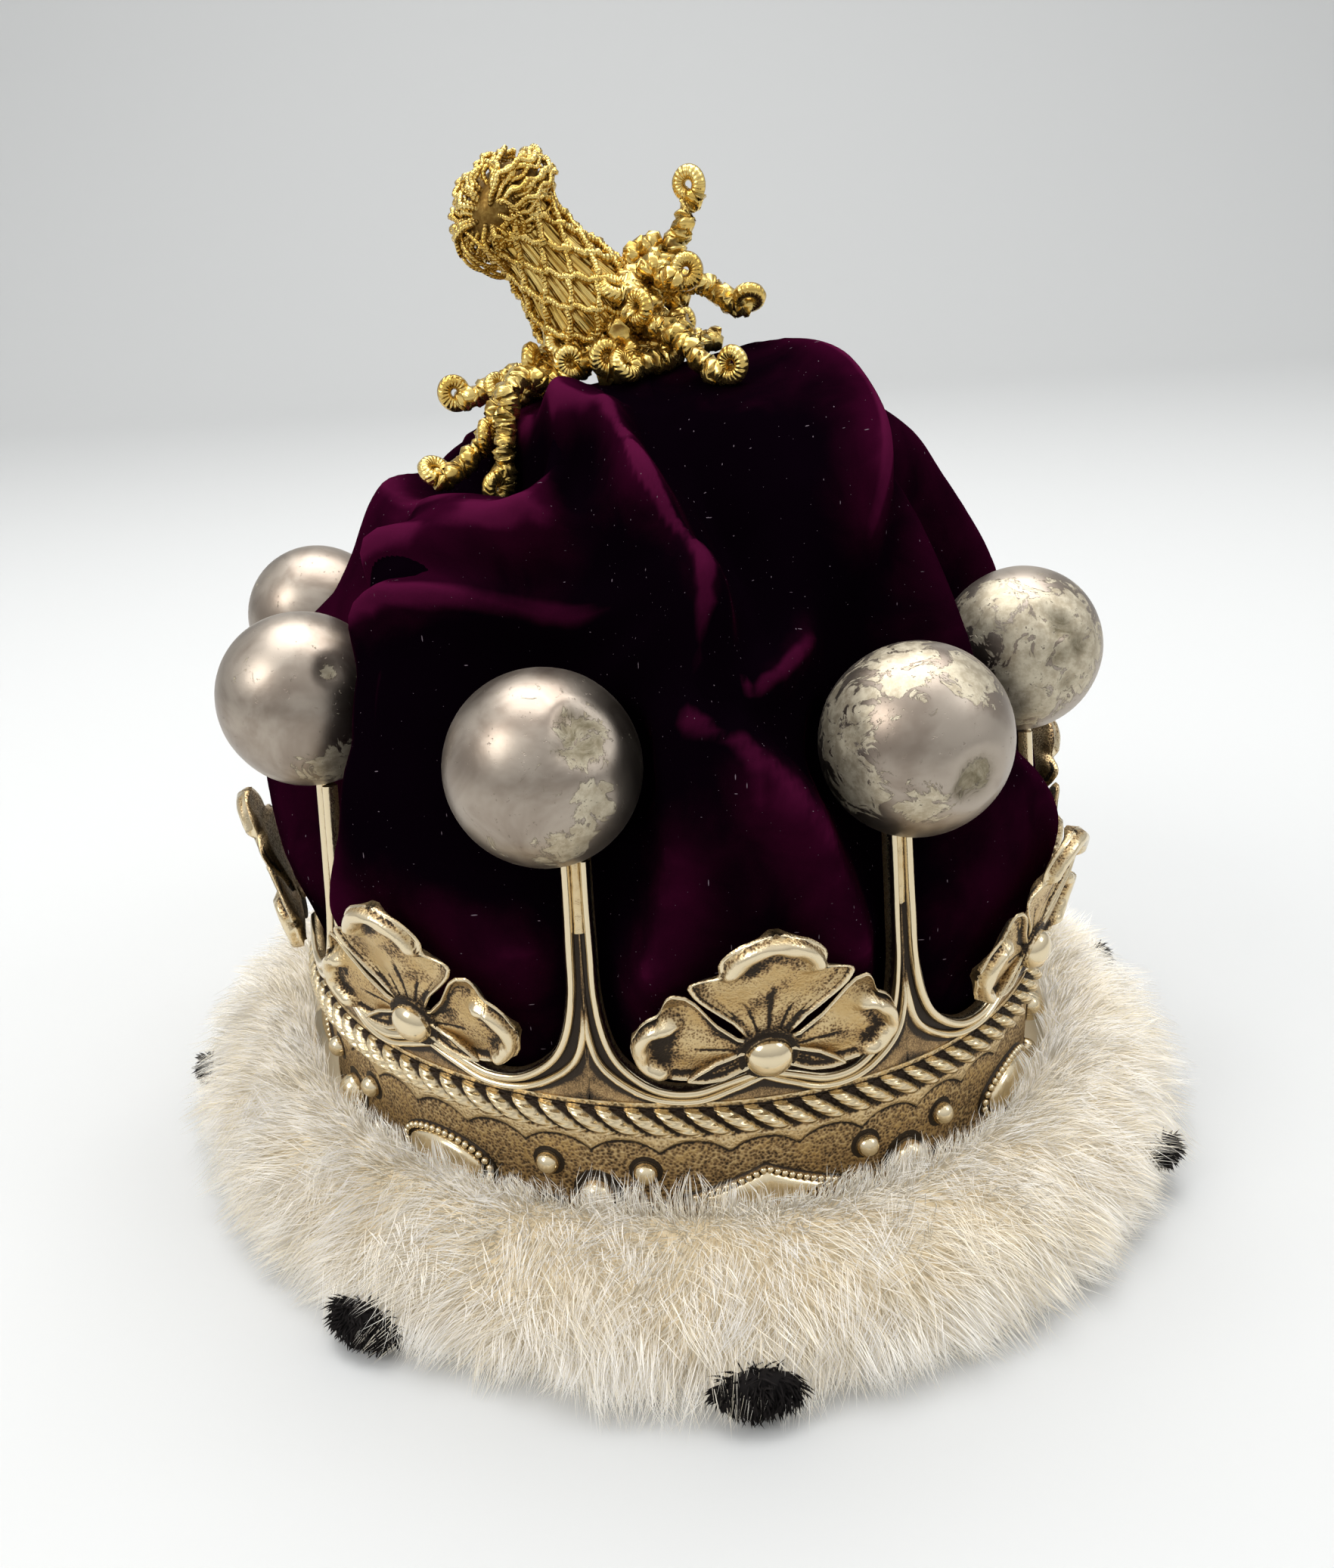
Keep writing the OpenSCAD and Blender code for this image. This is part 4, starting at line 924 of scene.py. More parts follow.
def fold(f, turn, rise, steps):
    """Height of one fold: (1 - d)^2 (1 + 1.3 d), a little rounded at d = 0, where d is the distance
    to the nearest of the straight pieces of its curve, in widths of the fold on that side."""
    best = np.zeros(np.broadcast(turn, rise).shape)

    def curve(t):
        """The fold's guiding curve, (1 - t)^2 A + 2 (1 - t) t B + t^2 C."""
        return [(1 - t) ** 2 * f[i] + 2 * (1 - t) * t * f[i + 2] + t * t * f[i + 4] for i in (0, 1)]
    # millimetres to a degree of turn and of rise
    mm_turn, mm_rise = 1.7 * np.cos(rise * DEG), 1.8
    for i in range(steps):
        p, q = curve(i / steps), curve((i + 1) / steps)
        dx, dy = near(turn - p[0]) * mm_turn, (rise - p[1]) * mm_rise
        ex, ey = near(q[0] - p[0]) * mm_turn, (q[1] - p[1]) * mm_rise
        t = np.clip((dx * ex + dy * ey) / (ex * ex + ey * ey), 0, 1)
        w = np.where(ex * dy - ey * dx < 0, f[7], f[8])
        d = np.sqrt(((dx - t * ex) ** 2 + (dy - t * ey) ** 2) / (w * w) + 0.004) - 0.04
        high = (1 - d) ** 2 * (1 + 1.3 * d)
        best = np.maximum(best, np.where(d < 1, high, 0) * (0.3 + 0.7 * np.sin(np.pi * (i + t) / steps)))
    return f[6] * best


def post_share(k, turn, rise):
    """1 behind ray k and its ball, falling to 0 beside it as exp(-(turn / width)^2)."""
    place = even_ray(k) + mixed(PLACES[k][0], PLACES[k][1], np.clip(rise / 14, 0, 1))
    return np.exp(-(near(turn - place) / look(rise, POST_WIDTH)) ** 2)


def pressed(p):
    """Velvet near a ball is pressed in behind it, a little off it."""
    for k in range(COUNT):
        c = ball_centre(k)
        inward = -unit(c * [1, 1, 0])
        d = p - c
        along = d @ inward
        aside = np.linalg.norm(d - along[..., None] * inward, axis=-1)
        keep = BALL_R + VELVET_OFF
        need = np.where(aside < keep, np.sqrt(np.maximum(0, keep**2 - aside**2)), 2 * (keep - aside))
        p = p + inward * np.maximum(0, need - along)[..., None]
    return p


def cap_out(turn, rise):
    """The way out of the dome, level below its widest place."""
    return way_at(turn, np.maximum(0, rise))


def cap_point(turn, rise, steps=12):
    """The dome, out by the swell between the rays, in behind them, and out by the folds."""
    shares = [post_share(k, turn, rise) for k in range(COUNT)]
    posts = look(rise, POST_DEPTH) * np.max([s * (1 - PLACES[k][2] / 20) for k, s in enumerate(shares)], 0)
    room = 1 - look(rise, POST_ROOM) * np.max(shares, 0)
    swell = look(rise, SWELL) * (0.5 - 0.5 * np.cos(COUNT * (turn - FIRST_RAY) * DEG))
    folds = sum(fold(f, turn, rise, steps) for f in FOLDS)
    h = swell - posts + look(rise, FOLD_EASE) * room * folds
    return pressed(dome(turn, rise) + cap_out(turn, rise) * h[..., None])


def velvet_cap():
    """The cap on a fine grid of turn and rise, closed by a coarser inner skin."""
    # the grid is finer in front
    u = turns(360)[None, :]
    turn = u - 12 * np.sin(u * DEG)
    rise = np.concatenate([np.linspace(-40, 80, 122), [83, 86, 88.5]])[:, None]
    outer = cap_point(turn, rise)
    normal = unit(np.cross(np.gradient(outer, axis=1), np.gradient(outer, axis=0)))
    # small puckers, strongest in the hollows beside the rays
    outer = outer + normal * (0.35 * ripple(outer, 26, 7) * ease(-20, 10, rise))[..., None]
    rows = list(range(0, len(rise), 6)) + [len(rise) - 1]
    inner = (outer - cap_out(turn, rise) * VELVET)[rows][::-1]
    pad = np.zeros(inner.shape[:2])
    top = ease(84, 64, rise)
    # Marks for the velvet's painted light: crest and broad bulges for painted highlights and sheen, and the
    # placed patches of painted sheen.
    marks = {"crest": spread_out(bent(outer, normal, 1) * top, 1),
             "broad": spread_out(bent(outer, normal, 6) * top, 9), "nap": sheen_patches_at(turn, rise)}
    return shell(np.concatenate([outer, inner]), gap=len(rise) - 1,
                 **{k: np.concatenate([v, pad]) for k, v in marks.items()})


def spread_out(v, times):
    """Each value drawn towards the mean of its four neighbours, a number of times."""
    for _ in range(times):
        e = np.pad(v, ((1, 1), (0, 0)), "edge")
        v = (2 * v + np.roll(v, 1, 1) + np.roll(v, -1, 1) + e[:-2] + e[2:]) / 6
    return v


def bent(p, normal, n):
    """How far a place stands out from the mean of its neighbours n steps away, in millimetres for
    each step squared: more than 0 on a ridge and less in a valley."""
    rows = np.arange(len(p))
    up, down = p[np.minimum(rows + n, len(p) - 1)], p[np.maximum(rows - n, 0)]
    lap = (p - (np.roll(p, n, 1) + np.roll(p, -n, 1)) / 2) + (p - (up + down) / 2)
    h = (lap * normal).sum(-1)
    h[:n] = h[-n:] = 0
    wide = np.linalg.norm(np.roll(p, -n, 1) - np.roll(p, n, 1), axis=-1) / 2
    return h / np.maximum(wide, 1.0)


# Patches of painted sheen on the velvet, dark purple where the strength is above 0 and black where
# it is below: turn, rise, spread along the turn and the rise, strength
SHEEN_PATCHES = [[-26, 50, 13, 9, 0.55], [-40, 41, 16, 7, 0.7], [-56, 22, 14, 16, 0.55], [0, 52, 8, 9, 0.6],
       [34, 48, 9, 14, 0.4], [8, 14, 13, 9, 0.4], [-72, 30, 14, 26, 0.8], [18, 33, 8, 7, 0.4],
       [52, 56, 10, 14, 0.3], [-20, 26, 16, 12, -0.8], [-32, 22, 14, 16, -0.6], [16, 50, 14, 14, -1.2],
       [26, 22, 9, 12, -0.8], [2, 28, 7, 8, -0.7], [-36, -6, 17, 15, 1.1], [9, -8, 15, 14, 0.7],
       [54, -6, 14, 14, 0.6], [100, 40, 50, 30, 0.4], [-140, 40, 50, 30, 0.4], [48, 6, 12, 14, 0.15]]


def sheen_patches_at(turn, rise):
    """The share of painted sheen: 0.3, and half the strength of each row of the table times a bell over
    turn and rise.
    """
    nap = 0.30 + 0 * turn * rise
    for t, e, wide, high, much in SHEEN_PATCHES:
        aside = near(turn - t) * np.cos(rise * DEG * 0.8) / wide
        nap = nap + 0.5 * much * np.exp(-aside**2 - ((rise - e) / high) ** 2)
    return np.clip(nap, 0, 1)


# ---- Fur ----
def fur_edge(turn):
    """Radius of the fur's outer edge, a little longer in front and behind."""
    return FUR_R + FUR_LONG * np.cos(2 * turn * DEG)


INNER_R = BAND_R + 4.7
FRONT_TAILS = (0, 7)
# The skin under the hair, from the floor up and over to the circlet: radius off the outer edge
# (or off the inner radius from the row marked 1), height
PELT = [[-22, 0.4, 0], [-16, 1.0, 0], [-13.5, 4, 0], [-13, 9, 0], [-14.5, 14, 0], [-18.5, 18, 0],
        [-25, 21, 0], [9, 23, 1], [4, 22.5, 1], [1.2, 20, 1]]


def pelt_point(turn, s):
    """A place on the pelt: s from 0 at the floor to 1 at the circlet."""
    g = np.array(PELT, float)
    edge = fur_edge(turn)
    x = s * (len(g) - 1)
    i = np.clip(x.astype(int), 0, len(g) - 2)
    f = x - i
    radius = [np.where(g[j, 2] > 0.5, INNER_R, edge) + g[j, 0] for j in (i, i + 1)]
    return at(turn, mixed(radius[0], radius[1], f), mixed(g[i, 1], g[i + 1, 1], f))


def fur_pelt():
    """The hide under the hair, in lumps, closed by the hole and a flat foot."""
    turn = turns(240)[:, None]
    s = np.linspace(0, 1, 40)[None, :]
    top = pelt_point(turn, s)
    lumps = 0.9 * ripple(top, 14, 21) + 0.4 * ripple(top, 6, 22) - 1.2
    top = top + unit(top * [1, 1, 0] + [0, 0, 60]) * (lumps * ease(0, 0.15, s))[..., None]
    flat = [at(turn[:, 0], r, z) for r, z in (
        (INNER_R, 18), (INNER_R, RIM_Z - GAP), (FUR_HOLE_R, RIM_Z - GAP), (FUR_HOLE_R, 0.1), (110, 0.05))]
    skin = np.concatenate([top, np.stack(flat, 1)], 1)
    # The hide takes the root colour: painted shadow where it shows between the hairs.
    along = np.concatenate([0.05 + 0 * top[..., 0], np.zeros((len(turn), len(flat)))], 1)
    spin = turn * DEG + 0 * along
    return shell(skin, True, along=along, tone=0.5 + 0.5 * np.clip(ripple(skin, 9, 23), -1, 1),
                 out_x=0.7 * np.sin(spin), out_y=-0.7 * np.cos(spin), out_z=0.7)


def strands(root, middle, tip, width, tone, outward, bend=True):
    """Thin three-sided spikes, each closed at the root: from root through middle to tip, or straight
    to the tip. The marks out_x, out_y and out_z hold the way that the coat faces there."""
    n = len(root)
    way = unit(tip - root)
    side = unit(np.cross(way, [0.1, 0.2, 1.0]))
    a = np.arange(3)[None, :, None] * 2 * np.pi / 3
    spoke = side[:, None] * np.cos(a) + np.cross(side, way)[:, None] * np.sin(a)
    rings = [root[:, None] + spoke * width[:, None, None]]
    if bend:
        rings.append(middle[:, None] + spoke * 0.85 * width[:, None, None])
    top = 3 * len(rings)
    edges = ((0, 1), (1, 2), (2, 0))
    quads = [[3 + j, 3 + k, k, j] for j, k in edges] if bend else np.zeros((0, 4), int)
    tris = [[0, 1, 2]] + [[top, top - 3 + k, top - 3 + j] for j, k in edges]
    starts = (np.arange(n) * (top + 1))[:, None, None]
    along = [0, 0, 0, 0.5, 0.5, 0.5, 1] if bend else [0, 0, 0, 1]
    faced = dict(zip(OUT, np.repeat(outward, top + 1, axis=0).T))
    return {"co": np.concatenate(rings + [tip[:, None]], 1).reshape(-1, 3),
            "quads": (np.array(quads)[None] + starts).reshape(-1, 4),
            "tris": (np.array(tris)[None] + starts).reshape(-1, 3),
            "marks": {"along": np.tile(along, n), "tone": np.repeat(tone, top + 1), **faced}}


# By place on the pelt: slope of the hair from level, its length, and the way the coat faces
HAIR_SLOPE = [[0, -12], [0.2, -8], [0.4, 4], [0.6, 22], [0.75, 36], [0.9, 66], [1, 98]]
HAIR_LENGTH = [[0, 10], [0.2, 13.5], [0.5, 16], [0.8, 14], [1, 11.5]]
COAT_FACES = [[0, -5], [0.2, 12], [0.45, 45], [0.7, 80], [1, 88]]
# Longer hair between the dark tails in front, by turn
LONGER = [[-60, 0], [-48, 0.15], [-40, 0.05], [-30, 0.10], [-20, 0.34], [-6, 0.16], [4, 0], [16, 0.10],
          [30, 0]]


def tail_place(k):
    """Turn and middle of a dark tail."""
    turn = leaf_turn(k) + TAILS[k][0]
    low, out = (5.2, 3.6) if k in FRONT_TAILS else (3.0, 5.5)
    return turn, at(turn + 0.7, fur_edge(turn) - out, TAILS[k][1] - low)


def fur_hair(part):
    """Hair of one eighth of the band: locks at random places, each with its own lean and tip, and
    strands that start round the lock's middle and gather towards its tip."""
    rng = np.random.default_rng(500 + part)
    seen = part in (0, 1, 6, 7)
    columns, rows, each = 14, 8, 32 if seen else 24
    locks = columns * rows
    n = locks * each
    i, j = np.divmod(np.arange(locks), rows)
    turn0 = (part + (i + rng.uniform(0, 1, locks)) / columns) * STEP + FIRST_RAY
    s0 = np.clip((j + rng.uniform(0, 1, locks)) / rows, 0.02, 1)
    twist = rng.normal(0, 26, locks)
    lift = rng.normal(0, 12, locks)
    long_ = rng.uniform(0.8, 1.15, locks)

    def grow(turn, s, twist, lift, long_):
        """Root, middle and tip of hair, sagging more towards its tip."""
        root = pelt_point(turn, s)
        hair = way_at(turn + twist, look(s, HAIR_SLOPE) + lift)
        size = (look(s, HAIR_LENGTH) * long_ * (1 + look(turn, LONGER)))[:, None]
        sag = np.array([0, 0, -1.0])
        return root, root + hair * size * 0.55 + sag * size * 0.02, root + hair * size + sag * size * 0.22
    lock = np.repeat(np.arange(locks), each)
    turn = turn0[lock] + rng.normal(0, 1.7, n)
    s = np.clip(s0[lock] + rng.normal(0, 0.06, n), 0.0, 1.0)
    root, middle, tip = grow(turn, s, twist[lock] + rng.normal(0, 9, n), lift[lock] + rng.normal(0, 7, n),
                             long_[lock] * rng.uniform(0.75, 1.1, n))
    _, lock_middle, lock_tip = grow(turn0, s0, twist, lift, long_ * 1.05)
    gather = rng.uniform(0.25, 0.74, n)[:, None]
    middle = mixed(middle, lock_middle[lock], gather * 0.35)
    tip = mixed(tip, lock_tip[lock], gather)
    # short straight under-hair between the locks
    under = 6800 if seen else 5000
    turn_u = (part + rng.uniform(0, 1, under)) * STEP + FIRST_RAY
    s_u = rng.uniform(0, 1, under)
    wave = [22 * ripple(at(turn_u, 120 + 20 * s_u, 0), 30, 70 + q) for q in (0, 1)]
    below = grow(turn_u, s_u, wave[0] + rng.normal(0, 16, under), 0.5 * wave[1] + rng.normal(0, 9, under),
                 rng.uniform(0.5, 0.85, under))
    root, middle, tip = (np.concatenate(v) for v in zip((root, middle, tip), below))
    turn, s = np.append(turn, turn_u), np.append(s, s_u)
    root = root - unit(middle - root) * 0.8
    # clear of the floor, and of the circlet's face
    for p in (middle, tip):
        p[:, 2] = np.maximum(p[:, 2], 0.5)
        flat = np.linalg.norm(p[:, :2], axis=1)
        least = np.linalg.norm(at(turn, BAND_R + 1.0, 0)[:, :2], axis=1)
        p[:, :2] *= (np.maximum(flat, least) / flat)[:, None]
    # no hair grows out of a dark tail
    keep = np.ones(len(root), bool)
    for k in range(COUNT):
        c = tail_place(k)[1]
        clear = 4.8 if k in FRONT_TAILS else 3.0
        keep &= np.linalg.norm(root - c, axis=1) > clear
        keep &= np.linalg.norm(tip - c, axis=1) > 0.5 * clear
    width = np.append(rng.uniform(0.07, 0.13, n), rng.uniform(0.09, 0.16, under))
    tone = np.append(0.5 * rng.uniform(0, 1, locks)[lock] + 0.5 * rng.uniform(0, 1, n),
                     rng.uniform(0, 1, under))
    outward = way_at(turn, look(s, COAT_FACES))
    fine = np.arange(len(root)) >= n
    return joined([strands(*(v[keep & pick] for v in (root, middle, tip, width, tone, outward)), bend=bend)
                   for pick, bend in ((~fine, True), (fine, False))])


def ermine_tail(k):
    """A short dark tuft: a core like a stretched ball, and short dense hair that lies outwards
    and down."""
    rng = np.random.default_rng(700 + k)
    turn, c = tail_place(k)
    t = np.linspace(-84, 84, 14)[:, None]
    b = turns(20)[None, :]
    way = way_at(b, t)
    axes = np.stack([way_at(turn + 90, 0), way_at(turn, 0), [0, 0, 1]])
    outward = axes[1]
    half = np.array([9.2, 4.2, 5.4] if k in FRONT_TAILS else [4.6, 3.0, 3.6])

    def place(way, grow):
        """The core's surface in a direction, grown by some millimetres."""
        return c + (way @ axes.T * (half + grow)) @ axes
    core = shell(place(way, -0.8), along=0.2, tone=0.5, **dict(zip(OUT, np.moveaxis(way, -1, 0))))
    n = 460 if k in FRONT_TAILS else 260
    w = unit(rng.normal(size=(n, 3)) + outward * 0.7)
    lie = unit(w + outward * 0.25 + np.array([0, 0, -0.35]) + rng.normal(0, 0.16, (n, 3)))
    root, tip = place(w, -1.2), place(lie, rng.uniform(-0.2, 2.4, (n, 1)))
    for p in (root, tip):
        p[:, 2] = np.maximum(p[:, 2], 0.5)
    middle = mixed(root, tip, 0.5) + unit(w) * 0.3
    return joined([core, strands(root, middle, tip, rng.uniform(0.2, 0.34, n), rng.uniform(0, 1, n), w)])


# ---- Tassel ----
TASSEL_FOOT = np.array([-4.5, -2.6, CAP_WIDE_Z + CAP_RISE + 7.5])
HEAD_WAY = unit(np.array([-np.sin(HEAD_LEAN * DEG), -0.12, np.cos(HEAD_LEAN * DEG)]))
HEAD_SIDE = unit(np.cross(HEAD_WAY, [0, 1, 0.01]))
HEAD_OVER = np.cross(HEAD_SIDE, HEAD_WAY)
# Radius of the netted head by share of its length
HEAD_RADIUS = [[0, 6], [0.08, 9.5], [0.16, 11.2], [0.3, 11.6], [0.45, 10.2], [0.6, 8.6], [0.75, 7.8],
               [1, 8.2]]


def on_head(share, angle, lift):
    """A place on the netted head: share of its length, angle round it in degrees, lift off it."""
    r, share, angle = np.broadcast_arrays(look(share, HEAD_RADIUS) + lift, share, angle)
    return (TASSEL_FOOT + (share * HEAD_LENGTH)[..., None] * HEAD_WAY
            + (r * np.cos(angle * DEG))[..., None] * HEAD_SIDE
            + (r * np.sin(angle * DEG))[..., None] * HEAD_OVER)


def tassel_head():
    """Threads laid up the head as small ridges, and rings of cord that wave up and down over
    them, each ring half a wave on from the last, so that they make a net."""
    share = np.linspace(0, 1.02, 30)[:, None]
    angle = turns(144)[None, :]
    ridge = 0.6 * np.abs(np.sin(angle * DEG * 18))
    parts = [shell(on_head(share, angle, -0.5 + ridge), hollow=0.5 * (1 - ridge / 0.6), along=angle * 0.2)]
    rings, waves = 8, 9
    a = turns(waves * 16)
    for i in range(rings):
        wave = np.cos(a * DEG * waves + np.pi * i)
        s = (i + 0.5) / rings + 0.5 / rings * wave
        lift = 0.8 + 0.3 * np.abs(wave) + 0.3 * np.sin(a * 1.3 + i)
        path = on_head(s + 0.012 * np.sin(a * 1.9), a, lift)
        thick = 0.80 + 0.30 * ripple(path, 1.3, 300 + i)
        parts.append(tube(path, np.maximum(thick, 0.35), 6, closed=True, up=HEAD_WAY))
    for s in (0.03, 0.97):
        parts.append(tube(on_head(s, turns(40), 0.4), 0.9, 6, closed=True, up=HEAD_WAY))
    return parts


KNOB_LOOPS = 54
# Loops that stand off the knob: angle round it, how far out, how far aslant, how far down
LOOSE_LOOPS = [[4, 4.5, 4, 10], [-14, 3.5, 3, 12], [-30, 4.0, 2, 9], [-48, 3.0, 3, 11], [16, 3.0, 2, 13],
               [176, 2.6, 1, 5], [190, 3.4, 2, 4], [-100, 2.0, 2, 8], [160, 2.2, 1, 7]]


def tassel_knob():
    """Cord laid in loops over a flattened ball, each from a dark middle on its near side out, round
    and behind, turning a little about that middle; and loops that stand off loose."""
    rng = np.random.default_rng(31)
    centre = TASSEL_FOOT + HEAD_WAY * (HEAD_LENGTH * 1.05)
    axes = np.stack([HEAD_SIDE, HEAD_OVER, HEAD_WAY])
    size = np.array([11.6, 11.0, 7.8])
    middle = unit(np.array([0.42, -1.0, 0.22]))
    first = unit(np.cross(middle, [0, 0, 1.0]))
    second = np.cross(first, middle)

    def place(t, a, lift):
        """t degrees from the dark middle, a degrees round it."""
        t, a, lift = (v[..., None] for v in np.broadcast_arrays(t * DEG, a * DEG, lift))
        way = np.cos(t) * middle + np.sin(t) * (np.cos(a) * first + np.sin(a) * second)
        return centre + (way * (size + lift)) @ axes
    t, a = np.linspace(4, 176, 14)[:, None], turns(24)[None, :]
    parts = [shell(place(t, a, -1.4), hollow=1.0)]
    for i in range(KNOB_LOOPS):
        start = rng.uniform(12, 40)
        t = np.linspace(start, rng.uniform(120, 160), 34)
        a = i / KNOB_LOOPS * 360 + rng.normal(0, 9)
        a = a + rng.uniform(30, 110) * (1 - np.cos((t - start) * 0.5 * DEG))
        a = a + rng.normal(0, 9) * np.sin(t * 3 * DEG) + 3.0 * np.sin(t * 17 * DEG + i)
        lift = rng.normal(0, 0.6) - 2.6 * ease(start + 22, start, t)
        lift = lift + 0.9 * np.sin((t - start) / 130 * np.pi) + 0.35 * np.sin(t * 17 * DEG + 2.1 * i)
        parts.append(tube(place(t, a, lift), 0.62, 5, up=middle @ axes + 0.01,
                          hollow=ease(start + 16, start, t)[:, None]))
    for a, out, far, low in LOOSE_LOOPS:
        spoke = np.cos(a * DEG) * HEAD_SIDE + np.sin(a * DEG) * HEAD_OVER
        swirl = np.cross(HEAD_WAY, spoke)
        t = np.linspace(0, np.pi, 18)
        path = (centre + (mixed(10.5, 8.0, t / np.pi) + out * np.sin(t))[:, None] * spoke
                + (-low * (1 - np.cos(t)) / 2 + 1.5)[:, None] * HEAD_WAY
                + (far * np.sin(t) - far)[:, None] * swirl)
        parts.append(tube(path, 0.44, 5))
    return parts


def over_cap(turn, r):
    """Height at which a bullion lies on the cap, 2.3 mm off it square to its slope."""
    e = np.arange(88, 21, -3.0)
    p = cap_point(np.full_like(e, turn), e, 8)
    flat = np.linalg.norm(p[:, :2], axis=1)

    def height(r):
        """Height of the cap at a radius along this turn."""
        return np.interp(r, flat, p[:, 2])
    slope = (height(r) - height(r + 4)) / 4
    return height(r) + 2.3 * np.sqrt(1 + slope**2)


# Coils: pitch of the rings, step along the line, points round a ring
PITCH, COIL_STEP, COIL_SIDES = 1.24, 0.31, 7


def bullion_line(turn, reach, bend, rise):
    """Four places that a bullion passes: the head, the bend, a place past it, and the tip."""
    marks = [TASSEL_FOOT + HEAD_WAY * 6]
    for share, up in ((0.5, bend), (0.85, mixed(bend, rise, 0.7)), (1.0, rise)):
        x, y = reach * share * np.sin(turn * DEG), -reach * share * np.cos(turn * DEG)
        marks.append(TASSEL_FOOT + np.array([x, y, up]))
    return marks


def bullion(i, marks, curl):
    """A crinkled coil that bends over the cap and ends in a smooth curl. The coil is a stack of
    rounded rings one pitch apart, each a little off the line and aslant: the radius is
    1.4 + 1.15 root(1 - 0.96 x^2), where x runs from -1 to 1 along a pitch. The curl is a spiral
    of nearly one turn with a hole in it, whose radius is 2.7 - 0.16 t at the angle t."""
    rng = np.random.default_rng(90 + i)
    for p in marks[1:]:
        p[2] = max(p[2], over_cap(np.arctan2(p[0], -p[1]) / DEG, np.hypot(p[0], p[1])))
    path = spline(marks, 60)
    run = run_of(path)
    s = np.arange(0, run[-1], COIL_STEP)
    path = np.stack([np.interp(s, run, path[:, j]) for j in range(3)], -1)
    side, over = frames(path)
    wob = s * 2 * np.pi / 5.2 + rng.uniform(0, 6)
    loose = rng.normal(0, 0.30, (len(s), 2))[(s / PITCH).astype(int)]
    path = path + side * (0.4 * np.cos(wob) + loose[:, 0])[:, None]
    path = path + over * (0.4 * np.sin(wob) + loose[:, 1])[:, None]
    a = turns(COIL_SIDES) * DEG
    slant = rng.uniform(0, 2 * np.pi, len(s))[(s / PITCH / 3).astype(int)][:, None]
    x = 2 * ((s[:, None] / PITCH + 0.30 * np.sin(a + slant)) % 1) - 1
    ring = np.sqrt(1 - 0.96 * x * x)
    radius = 1.40 + 1.15 * ring + 0.15 * np.sin(a * 2 + slant * 3)
    parts = [tube(path, radius, COIL_SIDES, hollow=1.5 * (1 - ring) ** 1.2)]
    if not curl:
        return parts
    # the curl: a spiral in the upright plane of the bullion, or flat on the cap
    forward = unit(path[-1] - path[-6])
    up = unit(np.array([0, 0, 1.0]) - forward * forward[2] + 1e-3)
    if i % 3 == 1:
        up = unit(np.cross(forward, up) * 0.8 + up * 0.6)
    t, wide = np.linspace(0, 1.85 * np.pi, 34)[:, None], 2.7
    out = (wide - 0.16 * t) * (np.sin(t) * forward - np.cos(t) * up)
    spiral = path[-1] + up * wide + out
    thick = np.linspace(1.65, 1.50, len(t))
    thick[-1] *= 0.55
    parts.append(tube(spiral, thick, 8, up=np.cross(forward, up)))
    return parts


def tassel():
    """The head, the knob and every bullion, as one skin."""
    parts = tassel_head() + tassel_knob()
    for i, (turn, reach, bend, rise, curl) in enumerate(BULLIONS + FILLING):
        parts += bullion(i, bullion_line(turn, reach, bend, rise), curl)
    for i, line in enumerate(HANGING):
        parts += bullion(60 + i, [TASSEL_FOOT + np.array(p) for p in line], True)
    return joined(parts)


# ---- Put the coronet together ----
make("circlet_band", circlet_band(), GILT, "silver_gilt", "circlet", sharp=50)
make("circlet_rope", circlet_rope(), rope_finish(), "silver_gilt", "circlet")
arcade = [arcade_bay(k) for k in range(COUNT)] + [ray_fill(k) for k in range(COUNT)]
make("circlet_arcade", joined(arcade), GILT_SATIN, "silver_gilt", "circlet", sharp=60)
make("circlet_jewels", circlet_jewels(), GILT_SATIN, "silver_gilt", "circlet", sharp=60)
for k in range(COUNT):
    make(f"leaf_{k + 1}_chased", leaf(k), GILT_LEAF, "leaf_gilt", f"leaf_{k + 1}")
    make(f"ball_{k + 1}_silver", ball(k), SILVER, "silver", f"ball_{k + 1}")
cap = make("velvet_cap_folded", velvet_cap(), CRIMSON, "velvet", "velvet_cap")
# A round cut of 0.38 m, gathered in at its edge
make("fur_pelt", fur_pelt(), WHITE_FUR, "fur", "fur_band")
for k in range(COUNT):
    make(f"fur_hair_{k + 1}", fur_hair(k), WHITE_FUR, "fur", "fur_band")
    make(f"ermine_tail_{k + 1}_tuft", ermine_tail(k), DARK_FUR, "tail_fur", f"ermine_tail_{k + 1}")
make("tassel_gold", tassel(), GOLD_THREAD, "gold_thread", "tassel")


# ---- Floor, light and camera ----
def backdrop():
    """A floor that curves up into a wall behind."""
    a = np.linspace(0, 90, 16) * DEG
    curve = np.stack([2.2 + 1.2 * np.sin(a), 1.2 - 1.2 * np.cos(a)], -1)
    line = np.concatenate([[[-3.0, 0.0]], curve, [[3.4, 4.5]]])
    mesh = bpy.data.meshes.new("backdrop")
    n = len(line)
    co = [(x, y, z) for x in (-5.0, 5.0) for y, z in line]
    mesh.from_pydata(co, [], [(i, n + i, n + i + 1, i + 1) for i in range(n - 1)])
    for face in mesh.polygons:
        face.use_smooth = True
    mesh.materials.append(Paint("studio_floor").finish(Base_Color=(0.575, 0.58, 0.575), Roughness=0.6))
    floor = bpy.data.objects.new("backdrop", mesh)
    bpy.context.collection.objects.link(floor)


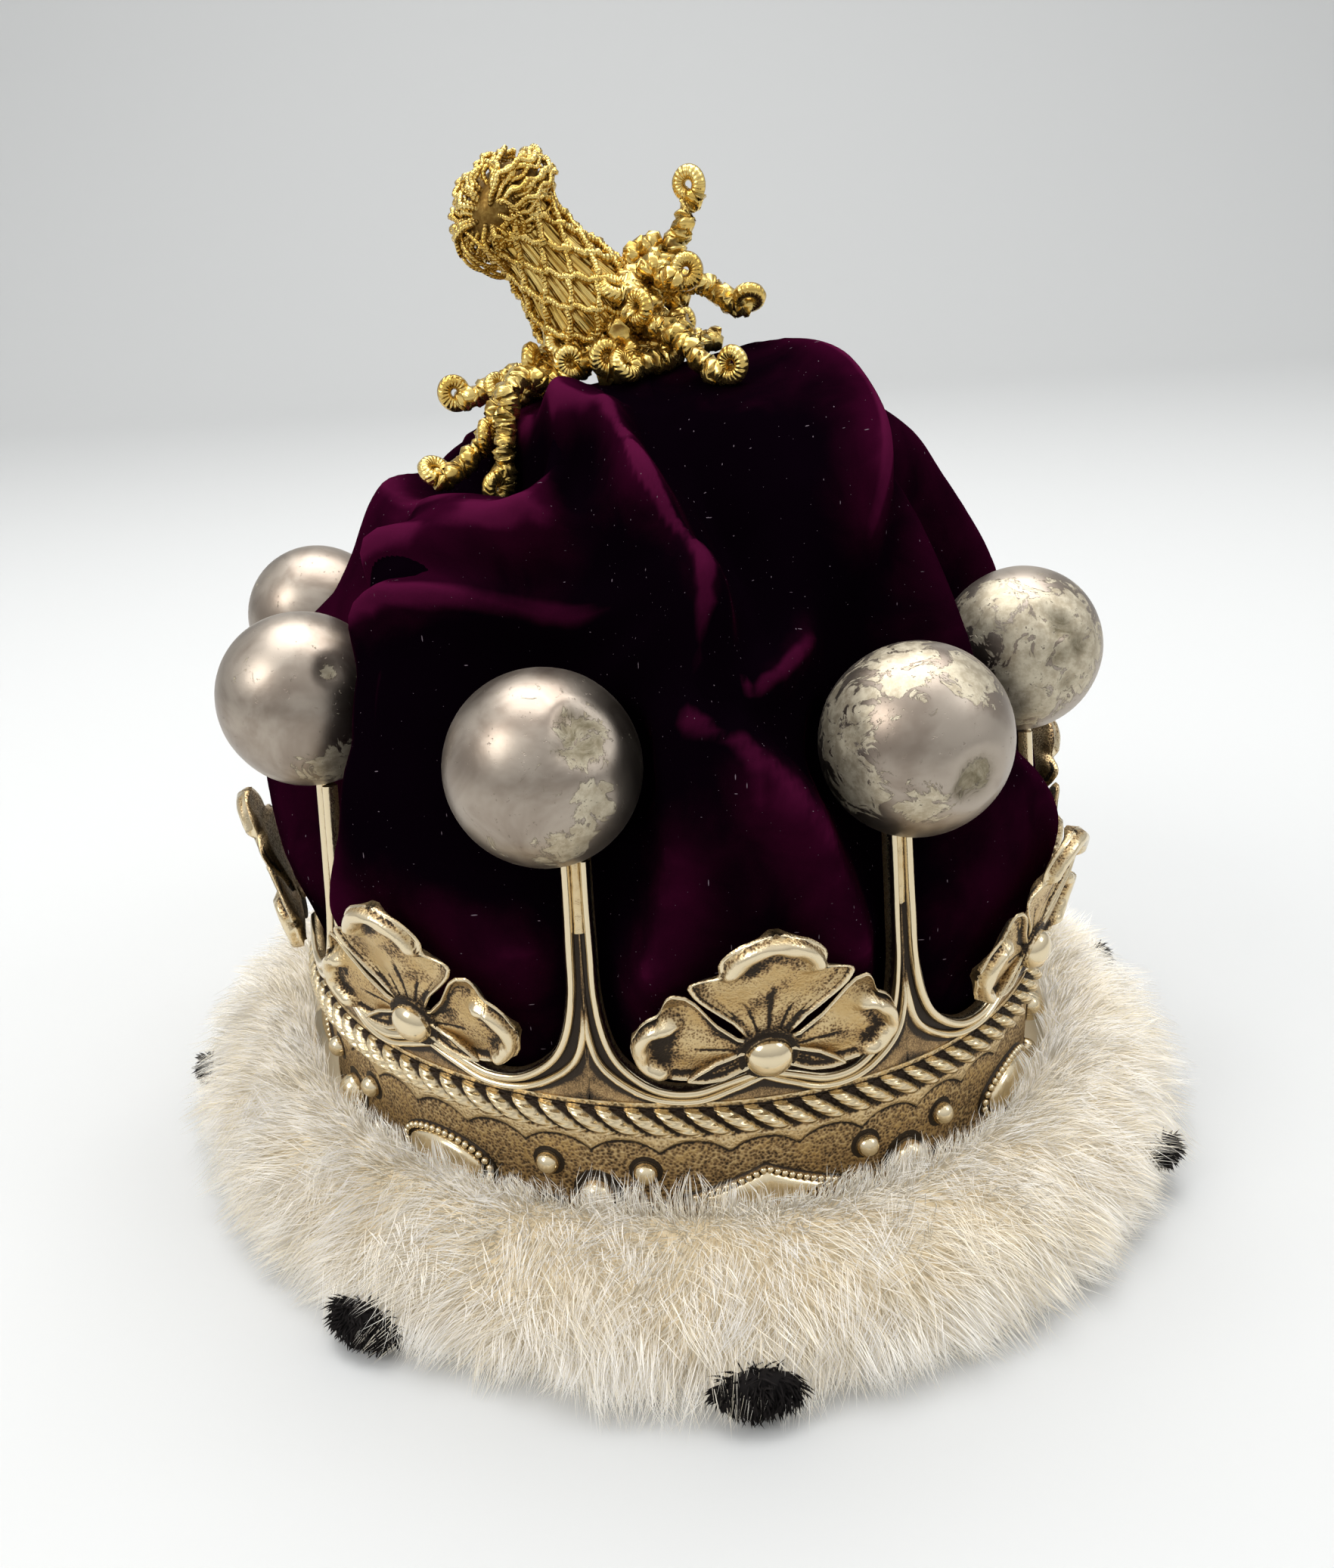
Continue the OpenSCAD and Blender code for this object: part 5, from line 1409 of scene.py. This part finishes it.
def soft_light(name, place, size, power, aim=(0, 0, 0.08), tint=(1, 1, 1)):
    """A lamp with a wide face, turned to the place it is aimed at, in metres and watts."""
    data = bpy.data.lights.new(name, "AREA")
    data.shape, data.size, data.size_y = "RECTANGLE", size[0], size[1]
    data.energy, data.color = power, tint
    lamp = bpy.data.objects.new(name, data)
    lamp.location = place
    lamp.rotation_euler = (Vector(aim) - Vector(place)).to_track_quat("-Z", "Y").to_euler()
    bpy.context.collection.objects.link(lamp)


def camera():
    """The photograph's viewpoint: right, up and forward directions, place, and the lens. The lens is
    shifted, as its middle isn't the middle of the picture."""
    right, up, ahead = (0.99840, -0.02514, -0.05067), (0.05656, 0.44373, 0.89437), (0, 0.89581, -0.44445)
    place = Vector((1.178, -321.325, 201.422))
    wide, high, lens, middle = 1764, 2074, 1700, (887.95, 1206.53)
    data = bpy.data.cameras.new("camera")
    data.sensor_fit, data.sensor_width = "HORIZONTAL", 36.0
    data.lens = data.sensor_width * lens / wide
    data.shift_x, data.shift_y = (wide / 2 - middle[0]) / wide, (middle[1] - high / 2) / wide
    data.clip_start = 0.01
    cam = bpy.data.objects.new("camera", data)
    turn = Matrix([right, up, [-x for x in ahead]]).transposed().to_4x4()
    cam.matrix_world = Matrix.Translation(place * MM) @ turn
    bpy.context.collection.objects.link(cam)
    bpy.context.scene.camera = cam


def sky():
    """Soft light from all round, brighter higher up."""
    p = Paint("studio", sky=True)
    high = p.node("ShaderNodeSeparateXYZ", {}, {0: p.place}, "Z")
    light = p.node("ShaderNodeMapRange", {}, {0: high, 1: -0.1, 2: 0.75, 3: 0.46, 4: 0.93})
    return p.shown(p.node("ShaderNodeBackground", {}, {
        "Color": (0.965, 0.975, 0.985, 1), "Strength": light}))


backdrop()
camera()
bpy.context.scene.world = sky()
bpy.context.scene.view_settings.view_transform = "Standard"
soft_light("overhead", (0.0, 0.35, 1.5), (1.5, 1.1), 20.0)
soft_light("left", (-1.2, -0.7, 1.2), (0.7, 0.7), 9.0, tint=(1.0, 0.98, 0.95))
soft_light("right", (1.3, -0.3, 1.3), (0.6, 0.6), 3.4, tint=(0.96, 0.98, 1.0))
soft_light("wall", (0.0, 1.6, 2.6), (3.0, 0.8), 27.0, aim=(0, 3.2, 0.9))
